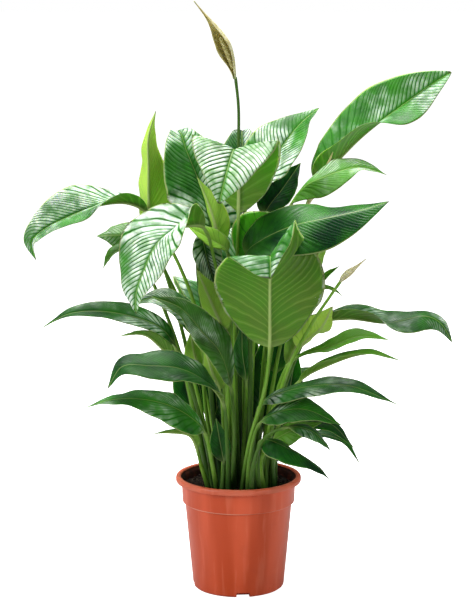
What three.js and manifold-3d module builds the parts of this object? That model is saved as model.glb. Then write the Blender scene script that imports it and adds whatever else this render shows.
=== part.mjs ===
// A peace lily in a plastic nursery pot.
//
// The frame: millimetres, +Z up, the origin on the flat underside of the pot, in its middle. The plant
// faces -Y. Each leaf grew as one piece, stalk and blade, so it is one solid. The stalks stand on the
// soil, and the soil fills the pot to a little below the rim.

import * as THREE from 'three';
import Module from 'manifold-3d';
import { mergeVertices } from 'three/addons/utils/BufferGeometryUtils.js';

// ---- driving dimensions ------------------------------------------------------------------------

const CLEARANCE = 0.3; // gap between two solids that touch

const POT = {
  height: 155,
  rimRadius: 85,
  rimDepth: 8,
  mouthRadius: 78,
  rimRound: 1.5,
  bandRadius: 77.3,
  bandBottomRadius: 76,
  bandBottom: 121,
  stepRadius: 72.5,
  stepHeight: 118,
  baseRadius: 62,
  baseCorner: 5,
  wall: 2,
  facets: 48,
};

const DRAIN = {
  count: 4,
  firstBearing: -84, // degrees from +X, so that one notch faces the front
  width: 18,
  height: 7.5,
  innerRadius: 46,
  wall: 2,
  holeRadius: 4,
  holeAt: 52,
  holeFacets: 12,
};

const SOIL = { top: 140, facets: 32 };

const LEAF = {
  stalkSteps: 6,
  bladeSteps: 9,
  footRadius: 4.2,
  collarRadius: 2.2,
  midribRadius: 1.6,
  marginThickness: 0.8,
  tipHalfWidth: 0.5,
};

const FLOWER = {
  sides: 6,
  stalkSteps: 9,
  stalkRadius: 2.6,
  stalkTopRadius: 1.9,
  spadixSteps: 5,
  spatheSteps: 8,
  spatheArc: 7, // points round the rolled sheet
  spatheThickness: 0.9,
};

const COLOURS = {
  terracotta: 0xc4502f,
  soil: 0x2a1a12,
  leaf: 0x2f6b24,
  stalk: 0x7fae3c,
  spathe: 0xe6e2bd,
  spadix: 0xd9cf92,
};

// ---- leaves ------------------------------------------------------------------------------------
//
// foot: where the stalk leaves the soil (x, y). stalk: points on the way up. blade: the midrib, from
// the collar where the blade begins to the tip. width: the blade's full width when pressed flat.
// left and right: how far each half of the blade rises out of the level, in degrees, at even steps
// from collar to tip. curl: how far each half bends down towards its margin, in degrees; the plain
// solids below leave it out. bearing: the way that the leaf faces along the ground, in degrees from
// +X, or from collar to tip where it is left out. peak: where along the blade it is widest. full: the
// smaller, the blunter the two ends of the blade.

const LEAVES = {
  leaf_top_right: {
    foot: [14, 8],
    stalk: [[60, 10, 405]],
    blade: [
      [105, 35, 550], [130, 40, 575], [165, 40, 610],
      [225, 50, 655], [260, 50, 680], [285, 55, 695],
    ],
    width: 108,
    left: [75, 50, 48, 60, 75, 70], right: [80, 40, 20, -20, -40, -30], curl: [10, 15, 25],
    peak: 0.48, full: 0.6,
  },
  leaf_upper_right: {
    foot: [6, 24],
    stalk: [[5, 40, 390]],
    blade: [[10, 40, 515], [35, 60, 555], [60, 70, 595], [85, 80, 625], [110, 90, 645]],
    width: 102,
    left: [20, 20, 10], right: [20, 15, 10], curl: [10],
    bearing: 50, peak: 0.5,
  },
  leaf_upper_back: {
    foot: [0, 30],
    stalk: [[0, 50, 385]],
    blade: [[0, 80, 500], [5, 95, 560], [5, 110, 595], [5, 125, 610], [10, 145, 605]],
    width: 76,
    left: [15], right: [15], curl: [15],
    bearing: 90,
  },
  leaf_crown_folded: {
    foot: [0, -6],
    stalk: [[-5, -15, 345]],
    blade: [[0, -20, 515], [0, -10, 560], [-5, -35, 600], [-15, -70, 575], [-25, -90, 535]],
    width: 122,
    left: [15, 5, 14, 15], right: [60, 30, 12, 20], curl: [10, 15, 30],
    bearing: -90, peak: 0.5, full: 0.65,
  },
  leaf_front_broad: {
    foot: [4, -38],
    stalk: [[15, -75, 220], [35, -100, 300]],
    blade: [[40, -100, 350], [40, -110, 400], [40, -120, 445], [40, -140, 475], [40, -165, 450]],
    width: 156,
    left: [15, 10, -5, 20], right: [15, 10, -5, 15], curl: [10, 10],
    bearing: -90, peak: 0.64, full: 0.45,
  },
  leaf_right_trough: {
    foot: [14, -18],
    stalk: [[15, -45, 350]],
    blade: [
      [10, -55, 465], [30, -65, 485], [70, -75, 505],
      [110, -80, 515], [160, -70, 525], [195, -60, 535],
    ],
    width: 98,
    left: [50, 35, 25, 15, 15, 10], right: [0, -30, -50, -58, -50, -30], curl: [10, 15],
    peak: 0.42, full: 0.7,
  },
  leaf_front_left: {
    foot: [-6, -30],
    stalk: [[-10, -40, 335], [-30, -50, 450]],
    blade: [
      [-45, -60, 500], [-65, -75, 505], [-85, -90, 500], [-105, -105, 485],
      [-120, -120, 455], [-130, -130, 425], [-130, -135, 400],
    ],
    width: 114,
    left: [85, 20, 5, 5], right: [60, 25, 10, 10], curl: [20, 15],
    peak: 0.45, full: 0.75,
  },
  leaf_far_left: {
    foot: [-22, 0],
    stalk: [[-60, -5, 395]],
    blade: [
      [-120, 5, 510], [-145, 0, 525], [-180, -15, 525], [-225, -30, 510],
      [-255, -40, 495], [-270, -40, 480], [-265, -45, 455],
    ],
    width: 80,
    left: [60, 30, -5, -5, -5], right: [50, 25, 50, 65, 55, 40], curl: [10, 20],
    peak: 0.5, full: 0.8,
  },
  leaf_left_upright: {
    foot: [-27, 21],
    stalk: [[-65, 50, 345]],
    blade: [[-115, 30, 470], [-120, 25, 520], [-120, 20, 570], [-120, 25, 610], [-110, 30, 645]],
    width: 76,
    left: [30, 30, 45, 40], right: [60, 67, 67, 50], curl: [5],
    bearing: -90, peak: 0.35,
  },
  leaf_upper_left: {
    foot: [-10, 16],
    stalk: [[-25, 20, 350]],
    blade: [[-35, 25, 475], [-50, 40, 540], [-70, 50, 590], [-80, 65, 615], [-90, 80, 610]],
    width: 125,
    left: [20, 15, 10], right: [20, 15, 10], curl: [15],
    bearing: 115, full: 0.75,
  },
  leaf_centre_slender: {
    foot: [-8, 0],
    stalk: [[-15, -5, 340]],
    blade: [[-25, -5, 465], [-35, 0, 510], [-55, 5, 560]],
    width: 46,
    left: [55], right: [45], curl: [5],
    bearing: -120,
  },
  leaf_centre_bright: {
    foot: [-14, -14],
    stalk: [[-10, -30, 360]],
    blade: [[-15, -30, 465], [-35, -30, 480], [-70, -30, 500]],
    width: 40,
    left: [-10, -20, -10], right: [50, 45, 30], curl: [20],
    full: 0.7,
  },
  leaf_centre_hanging: {
    foot: [-24, -12],
    stalk: [[-45, -15, 355], [-55, -10, 450]],
    blade: [[-50, -15, 485], [-40, -35, 450], [-25, -40, 410]],
    width: 42,
    left: [15], right: [15], curl: [10],
    bearing: -70,
  },
  leaf_centre_young: {
    foot: [-12, -24],
    stalk: [[-15, -40, 270]],
    blade: [[-20, -50, 360], [-35, -55, 400], [-55, -50, 445]],
    width: 46,
    left: [25], right: [25], curl: [10],
    bearing: -110,
  },
  leaf_left_dark: {
    foot: [-8, -40],
    stalk: [[-5, -55, 230]],
    blade: [[-10, -60, 290], [-25, -75, 340], [-45, -85, 365], [-75, -90, 400], [-115, -85, 415]],
    width: 66,
    left: [-35, -35, -30], right: [40, 55, 50], curl: [15, 20],
  },
  leaf_left_silver: {
    foot: [-28, 8],
    stalk: [[-45, 5, 255]],
    blade: [[-50, 5, 335], [-80, 0, 385], [-110, -10, 400], [-145, -10, 390]],
    width: 64,
    left: [-20, -25, -20], right: [40, 30, 20], curl: [20],
  },
  leaf_left_long: {
    foot: [-31, -15],
    stalk: [[-50, -20, 235]],
    blade: [
      [-85, -30, 340], [-105, -35, 365], [-165, -40, 385],
      [-220, -45, 385], [-260, -45, 365],
    ],
    width: 42,
    left: [-30, -20, -10], right: [45, 40, 40, 30], curl: [20],
    full: 0.8,
  },
  leaf_left_slender: {
    foot: [-34, -4],
    stalk: [[-45, -5, 220]],
    blade: [[-70, -10, 310], [-95, -10, 325], [-125, -15, 350], [-160, -20, 350]],
    width: 36,
    left: [60, 50, 40], right: [25, 20, 20], curl: [10],
  },
  leaf_lower_left: {
    foot: [-12, -46],
    stalk: [[-15, -70, 220]],
    blade: [
      [-20, -70, 270], [-40, -85, 300], [-75, -90, 320],
      [-115, -95, 325], [-150, -100, 325], [-170, -100, 295],
    ],
    width: 72,
    left: [20, -15, -24, -20], right: [20, 28, 25, 20], curl: [20],
    peak: 0.5, full: 0.75,
  },
  leaf_bottom_left: {
    foot: [-28, -36],
    stalk: [[-35, -55, 185]],
    blade: [
      [-45, -65, 230], [-60, -75, 250], [-90, -85, 270],
      [-130, -90, 280], [-170, -100, 280], [-200, -100, 270],
    ],
    width: 66,
    left: [-50, -40, -20, -10], right: [20, 22, 12, 10], curl: [15],
    peak: 0.36,
  },
  leaf_bottom_left_small: {
    foot: [-40, -18],
    stalk: [[-50, -25, 175]],
    blade: [[-55, -40, 200], [-65, -45, 220], [-90, -50, 225], [-115, -55, 225]],
    width: 24,
    left: [60, 45, 20], right: [20], curl: [10],
  },
  leaf_base_small: {
    foot: [-23, -47],
    stalk: [[-20, -50, 170]],
    blade: [[-20, -50, 185], [-25, -50, 215], [-30, -50, 245]],
    width: 30,
    left: [15], right: [15], curl: [10],
    bearing: 90,
  },
  leaf_right_twisted: {
    foot: [23, 15],
    stalk: [[40, 15, 365]],
    blade: [
      [70, 0, 525], [90, -5, 550], [110, -10, 560],
      [135, -15, 570], [160, -15, 575], [195, -20, 565],
    ],
    width: 52,
    left: [0, 10, 40, 45, 40], right: [-40, -70, -60, -20, 0], curl: [10],
  },
  leaf_upper_right_shaded: {
    foot: [10, 32],
    stalk: [[15, 50, 360]],
    blade: [[35, 70, 500], [60, 80, 535], [85, 90, 570]],
    width: 56,
    left: [10], right: [10], curl: [10],
    bearing: 60, full: 0.8,
  },
  leaf_right_behind: {
    foot: [26, 6],
    stalk: [[55, 10, 325]],
    blade: [[80, 10, 415], [100, 10, 445], [120, 15, 475]],
    width: 52,
    left: [20], right: [20], curl: [20],
    bearing: -60,
  },
  leaf_right_young: {
    foot: [36, 14],
    stalk: [[65, 20, 295]],
    blade: [[100, 20, 395], [115, 15, 420], [135, 10, 440]],
    width: 28,
    left: [40], right: [-10], curl: [10],
  },
  leaf_right_curled_tip: {
    foot: [22, -14],
    stalk: [[45, -10, 245]],
    blade: [[65, -15, 310], [90, -20, 370], [105, -15, 410], [125, -5, 410], [140, 0, 400]],
    width: 46,
    left: [10, 10, 20, 40], right: [60, 50, 30, -20], curl: [10],
    bearing: 0,
  },
  leaf_far_right: {
    foot: [37, 1],
    stalk: [[60, 0, 270]],
    blade: [
      [105, 5, 360], [145, 0, 370], [200, -5, 365],
      [250, -10, 375], [270, -10, 365], [285, -15, 340],
    ],
    width: 64,
    left: [40, 40, 20, 10, 40], right: [50, 45, 25, -30, -60, -50], curl: [10, 20],
    peak: 0.5, full: 0.7,
  },
  leaf_right_pale: {
    foot: [30, -23],
    stalk: [[50, -25, 250]],
    blade: [[80, -30, 335], [110, -35, 365], [125, -20, 390]],
    width: 54,
    left: [25], right: [25], curl: [20],
    bearing: -60, full: 0.7,
  },
  leaf_right_narrow_upper: {
    foot: [35, -33],
    stalk: [[45, -35, 250]],
    blade: [[70, -40, 320], [120, -45, 340], [160, -50, 355], [200, -50, 350]],
    width: 40,
    left: [10, 20, 35, 30], right: [0, -10, 0], curl: [15],
    peak: 0.55,
  },
  leaf_right_narrow_lower: {
    foot: [42, -22],
    stalk: [[55, -40, 240]],
    blade: [[80, -50, 295], [120, -60, 320], [170, -65, 335], [215, -65, 325]],
    width: 38,
    left: [30, 20, 20, 30], right: [40, 30, 10, -10], curl: [15],
  },
  leaf_lower_right_long: {
    foot: [20, -44],
    stalk: [[20, -60, 220]],
    blade: [[30, -75, 270], [65, -85, 290], [140, -100, 300], [210, -110, 275]],
    width: 60,
    left: [5, 5, 15, 10], right: [-35, -20, -10, 0], curl: [20],
  },
  leaf_lower_right_broad: {
    foot: [12, -54],
    stalk: [[15, -80, 200]],
    blade: [[30, -90, 250], [80, -105, 270], [135, -115, 250]],
    width: 66,
    left: [10, 15, 10], right: [-25, -20, -5], curl: [20],
  },
  leaf_lower_right_silver: {
    foot: [16, -62],
    stalk: [[20, -95, 195], [35, -115, 235]],
    blade: [[65, -120, 250], [95, -125, 245], [120, -130, 220]],
    width: 36,
    left: [5, 0, 0], right: [-25, -25, -20], curl: [15],
  },
  leaf_lower_right_olive: {
    foot: [34, -46],
    stalk: [[30, -55, 190]],
    blade: [[45, -60, 215], [75, -70, 235], [110, -75, 245]],
    width: 46,
    left: [30, 20, 10], right: [-40, -40, -20], curl: [15],
  },
  leaf_lower_right_outer: {
    foot: [46, -34],
    stalk: [[50, -45, 215]],
    blade: [[80, -50, 235], [120, -60, 240], [155, -65, 205]],
    width: 36,
    left: [20, 10, 0], right: [-20, -20, 0], curl: [20],
  },
  leaf_lower_right_slender: {
    foot: [48, -8],
    stalk: [[55, -15, 195]],
    blade: [[90, -20, 215], [135, -25, 210], [165, -30, 175]],
    width: 26,
    left: [20], right: [-10, 10], curl: [20],
  },
  leaf_bottom_right: {
    foot: [28, -58],
    stalk: [[25, -80, 190]],
    blade: [[30, -90, 225], [65, -115, 220], [100, -125, 200], [120, -130, 180]],
    width: 60,
    left: [-5, -25, -20], right: [-35, -20, 0], curl: [20],
  },
  leaf_left_behind: {
    foot: [-37, 14],
    stalk: [[-80, 40, 360]],
    blade: [[-120, 20, 470], [-155, 15, 480], [-190, 10, 480]],
    width: 54,
    left: [-60, -70, -50], right: [35, 35, 30], curl: [10],
  },
  leaf_left_behind_small: {
    foot: [-38, 4],
    stalk: [[-90, 30, 350]],
    blade: [[-145, 0, 465], [-165, -10, 460], [-180, -15, 440]],
    width: 24,
    left: [10], right: [30, 30, 30], curl: [10],
  },
  leaf_right_cupped: {
    foot: [13, 20],
    stalk: [[20, 0, 340]],
    blade: [[25, -20, 440], [40, -25, 465], [60, -25, 485], [85, -25, 510]],
    width: 122,
    left: [80, 80, 75, 60], right: [-60, -60, -50], curl: [10],
    bearing: 0, peak: 0.36, full: 0.8,
  },
  leaf_inner_centre: {
    foot: [4, -17],
    stalk: [],
    blade: [[10, -25, 290], [5, -25, 330], [5, -20, 370]],
    width: 30,
    left: [25], right: [25], curl: [10],
    bearing: 90,
  },
  leaf_inner_right: {
    foot: [31, 24],
    stalk: [],
    blade: [[50, 25, 290], [55, 30, 320], [60, 30, 355]],
    width: 34,
    left: [15], right: [15], curl: [10],
    bearing: 70,
  },
  leaf_inner_left: {
    foot: [-19, 13],
    stalk: [],
    blade: [[-50, 20, 285], [-60, 20, 320], [-65, 25, 350]],
    width: 32,
    left: [30], right: [30], curl: [5],
    bearing: -70,
  },
  leaf_inner_front: {
    foot: [-21, -27],
    stalk: [[-20, -30, 225]],
    blade: [[-25, -35, 280], [-35, -35, 305], [-45, -30, 335]],
    width: 36,
    left: [25], right: [25], curl: [5],
    bearing: -110,
  },
  leaf_back_high: {
    foot: [-2, 42],
    stalk: [[-5, 75, 300]],
    blade: [[-5, 100, 400], [0, 150, 465], [-10, 225, 450], [-15, 285, 375]],
    width: 98,
    left: [15], right: [15], curl: [15],
  },
  leaf_back_right: {
    foot: [18, 38],
    stalk: [[30, 70, 250]],
    blade: [[45, 100, 350], [60, 155, 400], [80, 235, 375], [90, 280, 315]],
    width: 88,
    left: [15], right: [15], curl: [15],
  },
  leaf_back_left: {
    foot: [-16, 36],
    stalk: [[-30, 65, 250]],
    blade: [[-40, 95, 345], [-50, 150, 390], [-60, 225, 365], [-65, 270, 300]],
    width: 84,
    left: [15], right: [15], curl: [15],
  },
  leaf_back_low: {
    foot: [8, 50],
    stalk: [[10, 80, 190]],
    blade: [[10, 110, 240], [15, 165, 270], [20, 245, 245], [20, 290, 195]],
    width: 74,
    left: [10], right: [10], curl: [15],
  },
  leaf_back_low_right: {
    foot: [30, 34],
    stalk: [[42, 65, 190]],
    blade: [[55, 95, 235], [70, 145, 262], [83, 210, 255], [88, 250, 225]],
    width: 64,
    left: [10], right: [10], curl: [15],
  },
  leaf_back_low_left: {
    foot: [-28, 30],
    stalk: [[-38, 60, 190]],
    blade: [[-48, 90, 250], [-66, 140, 280], [-85, 200, 272], [-92, 235, 245]],
    width: 62,
    left: [10], right: [10], curl: [15],
  },
};
// end of leaves

const TALL_FLOWER = {
  stalk: [[2, 14, 140], [2, 24, 380], [0, 30, 590], [0, 26, 650], [-4, 20, 690]],
  spathe: [[-6.5, 19, 696], [-15, 15, 722], [-33, 8, 757], [-58, 0, 790]],
  roll: [3.2, 7.5, 9.5, 8, 5.5, 3, 0.6],
  spadix: [[-8, 18, 702], [-14, 16, 720], [-24, 12, 742]],
  spadixRadius: 3.2,
  open: 70, // degrees of gap between the two edges of the rolled spathe
  gapBearing: 20,
};

const SMALL_FLOWER = {
  stalk: [
    [24, -33, 140], [44, -46, 238], [68, -52, 318],
    [98, -50, 375], [120, -44, 407], [134, -38, 426],
  ],
  spathe: [[137, -37, 430], [145, -36, 437], [156, -35, 446], [168, -34, 456]],
  roll: [1.6, 4.2, 4.6, 3.2, 1.8, 0.8],
  open: 90,
  gapBearing: -70,
};

const FURLED_BUD = {
  stalk: [[18, -4, 140], [32, -6, 260], [56, -6, 395], [81, 6, 488], [92, 14, 520]],
  spathe: [[94, 15, 525], [103, 14, 541], [112, 14, 558], [119, 13, 576], [125, 11, 592]],
  roll: [1.8, 3.6, 4.4, 3.6, 2, 0.5],
  open: 30,
  gapBearing: -90,
};

// ---- curves and sweeps -------------------------------------------------------------------------

const toVectors = (points) => points.map((p) => new THREE.Vector3(...p));

const radians = THREE.MathUtils.degToRad;

// A value from a short list of values that are spaced evenly over 0 to 1.
function along(values, share) {
  if (values.length === 1) return values[0];
  const place = THREE.MathUtils.clamp(share, 0, 1) * (values.length - 1);
  const i = Math.min(Math.floor(place), values.length - 2);
  const before = values[Math.max(i - 1, 0)];
  const after = values[Math.min(i + 2, values.length - 1)];
  const [from, to] = [values[i], values[i + 1]];
  const f = place - i;
  const cubic = 3 * (from - to) + after - before;
  const square = 2 * before - 5 * from + 4 * to - after;
  return from + 0.5 * f * (to - before + f * (square + f * cubic));
}

// A smooth curve through the points, with the shares of its length at which its own points lie.
function route(points) {
  const curve = new THREE.CatmullRomCurve3(toVectors(points), false, 'centripetal');
  const fine = 24;
  curve.arcLengthDivisions = fine * (points.length - 1);
  const lengths = curve.getLengths();
  const total = lengths[lengths.length - 1];
  const shareOf = (index) => lengths[index * fine] / total;
  return { curve, total, shareOf };
}

// The curve's place and directions at a share of its length. side points to the right of the bearing,
// up is square to side and to the curve.
function frameAt(curve, share, bearing) {
  const step = 0.004;
  const ahead = curve.getPointAt(Math.min(share + step, 1));
  const behind = curve.getPointAt(Math.max(share - step, 0));
  const forward = ahead.sub(behind).normalize();
  const level = new THREE.Vector3(Math.sin(radians(bearing)), -Math.cos(radians(bearing)), 0);
  const side = level.addScaledVector(forward, -forward.dot(level)).normalize();
  const up = new THREE.Vector3().crossVectors(side, forward);
  return { place: curve.getPointAt(share), side, up };
}

// A point at (across, above) in a frame.
function inFrame(frame, across, above) {
  return frame.place.clone().addScaledVector(frame.side, across).addScaledVector(frame.up, above);
}

// A closed solid through a list of rings of points, each ring closed by a fan from its point `hub`. A
// sheet's ring runs over its top and back under it. A warped four-sided face is two triangles, and the
// second half of a ring is split the other way, so that a thin sheet's top and underside run parallel.
function loft(rings, hub = 0) {
  const count = rings[0].length;
  const vertices = rings.flat().flatMap((p) => [p.x, p.y, p.z]);
  const faces = [];
  for (let ring = 0; ring < rings.length - 1; ring += 1) {
    for (let j = 0; j < count; j += 1) {
      const a = ring * count + j;
      const b = ring * count + ((j + 1) % count);
      if (j < count / 2) faces.push(a, b, b + count, a, b + count, a + count);
      else faces.push(a, b, a + count, b, b + count, a + count);
    }
  }
  const last = (rings.length - 1) * count;
  for (let j = 1; j < count - 1; j += 1) {
    const one = (hub + j) % count;
    const two = (hub + j + 1) % count;
    faces.push(hub, two, one);
    faces.push(last + hub, last + one, last + two);
  }
  const geometry = new THREE.BufferGeometry();
  geometry.setAttribute('position', new THREE.Float32BufferAttribute(vertices, 3));
  geometry.setIndex(faces);
  return geometry;
}

// ---- a leaf --------------------------------------------------------------------------------------

// The blade's half width as a share of its widest, from collar (0) to tip (1).
function bladeOutline(share, peak = 0.4, full = 0.9) {
  const power = Math.log(0.5) / Math.log(peak);
  const bulge = Math.max(Math.sin(Math.PI * share ** power), 0);
  return bulge ** full * (1 - 0.55 * share ** 4);
}

// One ring of the stalk: a six-sided section, flatter on top.
function stalkRing(frame, radius) {
  const outline = [[-1, 0.2], [0, 0.8], [1, 0.2], [0.6, -0.7], [0, -1], [-0.6, -0.7]];
  return outline.map(([across, above]) => inFrame(frame, across * radius, above * radius));
}

// The first ring of a stalk, cut level just above the soil.
function levelFoot(ring) {
  return ring.map((p) => new THREE.Vector3(p.x, p.y, SOIL.top + CLEARANCE));
}

// One ring of the blade: two thin halves that rise from the midrib, which is thicker underneath.
function bladeRing(frame, half, leftRise, rightRise, ribRadius) {
  const thickness = LEAF.marginThickness;
  const left = radians(leftRise);
  const right = radians(rightRise);
  const leftMargin = [-half * Math.cos(left), half * Math.sin(left)];
  const rightMargin = [half * Math.cos(right), half * Math.sin(right)];
  const leftUnder = [
    leftMargin[0] - thickness * Math.sin(left),
    leftMargin[1] - thickness * Math.cos(left),
  ];
  const rightUnder = [
    rightMargin[0] + thickness * Math.sin(right),
    rightMargin[1] - thickness * Math.cos(right),
  ];
  const lean = (right - left) / 2; // the way that the underside of the midrib faces
  const under = thickness + ribRadius;
  const outline = [
    leftMargin,
    [0, 0],
    rightMargin,
    rightUnder,
    [Math.sin(lean) * under, -Math.cos(lean) * under],
    leftUnder,
  ];
  return outline.map(([across, above]) => inFrame(frame, across, above));
}

function leafGeometry(leaf) {
  const foot = [leaf.foot[0], leaf.foot[1], SOIL.top + CLEARANCE];
  const { curve, shareOf } = route([foot, ...leaf.stalk, ...leaf.blade]);
  const collar = shareOf(1 + leaf.stalk.length);
  const [start, end] = [leaf.blade[0], leaf.blade[leaf.blade.length - 1]];
  const outward = THREE.MathUtils.radToDeg(Math.atan2(end[1] - start[1], end[0] - start[0]));
  const bearing = leaf.bearing ?? outward;
  const stout = leaf.stout ?? LEAF.footRadius;
  const rings = [];
  for (let i = 0; i < LEAF.stalkSteps; i += 1) {
    const share = i / LEAF.stalkSteps;
    const radius = THREE.MathUtils.lerp(stout, LEAF.collarRadius, share ** 0.8);
    const ring = stalkRing(frameAt(curve, share * collar, bearing), radius);
    rings.push(i === 0 ? levelFoot(ring) : ring);
  }
  for (let i = 0; i <= LEAF.bladeSteps; i += 1) {
    const share = i / LEAF.bladeSteps;
    const rib = LEAF.midribRadius * (1 - share) ** 0.8;
    const grown = (leaf.width / 2) * bladeOutline(share, leaf.peak, leaf.full);
    const half = Math.max(grown, rib, LEAF.tipHalfWidth);
    const frame = frameAt(curve, collar + (1 - collar) * share, bearing);
    rings.push(bladeRing(frame, half, along(leaf.left, share), along(leaf.right, share), rib));
  }
  return loft(rings, 1);
}

// ---- flowers -------------------------------------------------------------------------------------

// A rod whose radius changes along its route. A rooted rod starts on the soil.
function rodGeometry(points, steps, rooted, radiusAt) {
  const { curve } = route(points);
  const rings = [];
  for (let i = 0; i <= steps; i += 1) {
    const share = i / steps;
    const frame = frameAt(curve, share, 0);
    const ring = [];
    for (let j = 0; j < FLOWER.sides; j += 1) {
      const turn = (-2 * Math.PI * j) / FLOWER.sides;
      ring.push(inFrame(frame, radiusAt(share) * Math.cos(turn), radiusAt(share) * Math.sin(turn)));
    }
    rings.push(ring);
  }
  if (rooted) rings[0] = levelFoot(rings[0]);
  return loft(rings);
}

const flowerStalk = (flower) => rodGeometry(
  flower.stalk,
  FLOWER.stalkSteps,
  true,
  (share) => THREE.MathUtils.lerp(FLOWER.stalkRadius, FLOWER.stalkTopRadius, share),
);

const spadixGeometry = (flower) => rodGeometry(
  flower.spadix,
  FLOWER.spadixSteps,
  false,
  (share) => flower.spadixRadius * Math.max(Math.sin(Math.PI * (0.08 + 0.84 * share)) ** 0.5, 0.3),
);

// The spathe: one thin sheet rolled round the spadix, open along one side.
function spatheRings(flower) {
  const { curve } = route(flower.spathe);
  const rings = [];
  for (let i = 0; i <= FLOWER.spatheSteps; i += 1) {
    const share = i / FLOWER.spatheSteps;
    const frame = frameAt(curve, share, 0);
    const outer = along(flower.roll, share);
    const inner = Math.max(outer - FLOWER.spatheThickness, outer * 0.4);
    const ring = [];
    for (let j = 0; j < 2 * FLOWER.spatheArc; j += 1) {
      const outside = j < FLOWER.spatheArc;
      const step = outside ? j : 2 * FLOWER.spatheArc - 1 - j;
      const swept = flower.open / 2 + ((360 - flower.open) * step) / (FLOWER.spatheArc - 1);
      const turn = radians(flower.gapBearing - swept);
      const radius = outside ? outer : inner;
      ring.push(inFrame(frame, radius * Math.cos(turn), radius * Math.sin(turn)));
    }
    rings.push(ring);
  }
  return rings;
}

// Both ends of the spathe are strips, so their caps run across the sheet and not from one point.
function spatheSolid(flower) {
  const rings = spatheRings(flower);
  const count = rings[0].length;
  const body = loft(rings);
  const sides = (rings.length - 1) * count * 6;
  const faces = Array.from(body.index.array).slice(0, sides);
  const last = (rings.length - 1) * count;
  for (let j = 0; j < FLOWER.spatheArc - 1; j += 1) {
    const [a, b] = [j, j + 1];
    const [c, d] = [count - 2 - j, count - 1 - j];
    faces.push(a, c, b, a, d, c);
    faces.push(last + a, last + b, last + c, last + a, last + c, last + d);
  }
  body.setIndex(faces);
  return body;
}

// ---- pot and soil --------------------------------------------------------------------------------

const wasm = await Module();
wasm.setup();

// A closed three.js geometry as a solid that can be cut.
function toSolid(geometry) {
  const bare = geometry.clone();
  bare.deleteAttribute('normal');
  bare.deleteAttribute('uv');
  const merged = mergeVertices(bare, 1e-4);
  const vertProperties = new Float32Array(merged.attributes.position.array);
  const triVerts = new Uint32Array(merged.index.array);
  return new wasm.Manifold(new wasm.Mesh({ numProp: 3, vertProperties, triVerts }));
}

function toGeometry(solid) {
  const mesh = solid.getMesh();
  const geometry = new THREE.BufferGeometry();
  geometry.setAttribute('position', new THREE.Float32BufferAttribute(mesh.vertProperties, 3));
  geometry.setIndex(Array.from(mesh.triVerts));
  return geometry;
}

// A profile of [radius, height] turned round the pot's upright axis.
function turned(profile, facets) {
  const points = profile.map(([radius, height]) => new THREE.Vector2(radius, height));
  return toSolid(new THREE.LatheGeometry(points, facets).rotateX(Math.PI / 2));
}

function potOuterProfile() {
  const profile = [[0, 0]];
  const cornerSteps = 3;
  for (let i = 0; i <= cornerSteps; i += 1) {
    const turn = (i / cornerSteps) * (Math.PI / 2);
    const radius = POT.baseRadius - POT.baseCorner * (1 - Math.sin(turn));
    profile.push([radius, POT.baseCorner * (1 - Math.cos(turn))]);
  }
  const rimBottom = POT.height - POT.rimDepth;
  profile.push(
    [POT.stepRadius, POT.stepHeight],
    [POT.bandBottomRadius, POT.bandBottom],
    [POT.bandRadius, rimBottom],
    [POT.rimRadius - POT.rimRound, rimBottom],
    [POT.rimRadius, rimBottom + POT.rimRound],
    [POT.rimRadius, POT.height - 2 * POT.rimRound],
    [POT.rimRadius - 2 * POT.rimRound, POT.height],
  );
  return profile;
}

// The inside, a wall thickness in from the outside, from the mouth down to the floor.
function potInnerProfile(inset) {
  const wall = POT.wall + inset;
  return [
    [POT.bandRadius - wall, POT.height - POT.rimDepth],
    [POT.bandBottomRadius - wall, POT.bandBottom + 1],
    [POT.stepRadius - wall, POT.stepHeight - 1],
    [POT.baseRadius - wall, POT.baseCorner],
    [POT.baseRadius - POT.baseCorner - inset, wall],
    [0, wall],
  ];
}

// A box that lies along a drain's bearing, from one radius out to another.
function drainBox(bearing, width, innerRadius, outerRadius, bottom, top) {
  const box = new THREE.BoxGeometry(outerRadius - innerRadius, width, top - bottom);
  box.translate((innerRadius + outerRadius) / 2, 0, (bottom + top) / 2);
  return toSolid(box.rotateZ(radians(bearing)));
}

const drainBearings = [];
for (let i = 0; i < DRAIN.count; i += 1) drainBearings.push(DRAIN.firstBearing + (360 / DRAIN.count) * i);

const drainReach = POT.baseRadius + POT.wall; // past the outside of the wall

// The raised floor over one drain notch, grown on every side by `extra`. It starts inside the floor.
function drainHood(bearing, extra) {
  const width = DRAIN.width + 2 * (DRAIN.wall + extra);
  const start = DRAIN.innerRadius - DRAIN.wall - extra;
  const top = DRAIN.height + DRAIN.wall + extra;
  return drainBox(bearing, width, start, drainReach, POT.wall / 2, top);
}

// The notch under one hood, open at the side and below, and the round hole up through its roof.
function drainCut(bearing) {
  const notch = drainBox(bearing, DRAIN.width, DRAIN.innerRadius, drainReach, -1, DRAIN.height);
  const length = 4 * DRAIN.wall;
  const hole = new THREE.CylinderGeometry(DRAIN.holeRadius, DRAIN.holeRadius, length, DRAIN.holeFacets);
  hole.rotateX(Math.PI / 2).translate(DRAIN.holeAt, 0, DRAIN.height + DRAIN.wall / 2);
  return notch.add(toSolid(hole.rotateZ(radians(bearing))));
}

function nurseryPot() {
  const outer = potOuterProfile();
  const mouth = [
    [POT.mouthRadius + POT.rimRound, POT.height],
    [POT.mouthRadius, POT.height - POT.rimRound],
  ];
  const shell = turned([...outer, ...mouth, ...potInnerProfile(0)], POT.facets);
  const envelope = turned([...outer, [0, POT.height]], POT.facets);
  let pot = shell;
  for (const bearing of drainBearings) {
    pot = pot.add(drainHood(bearing, 0).intersect(envelope));
  }
  for (const bearing of drainBearings) {
    pot = pot.subtract(drainCut(bearing));
  }
  return toGeometry(pot);
}

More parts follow.
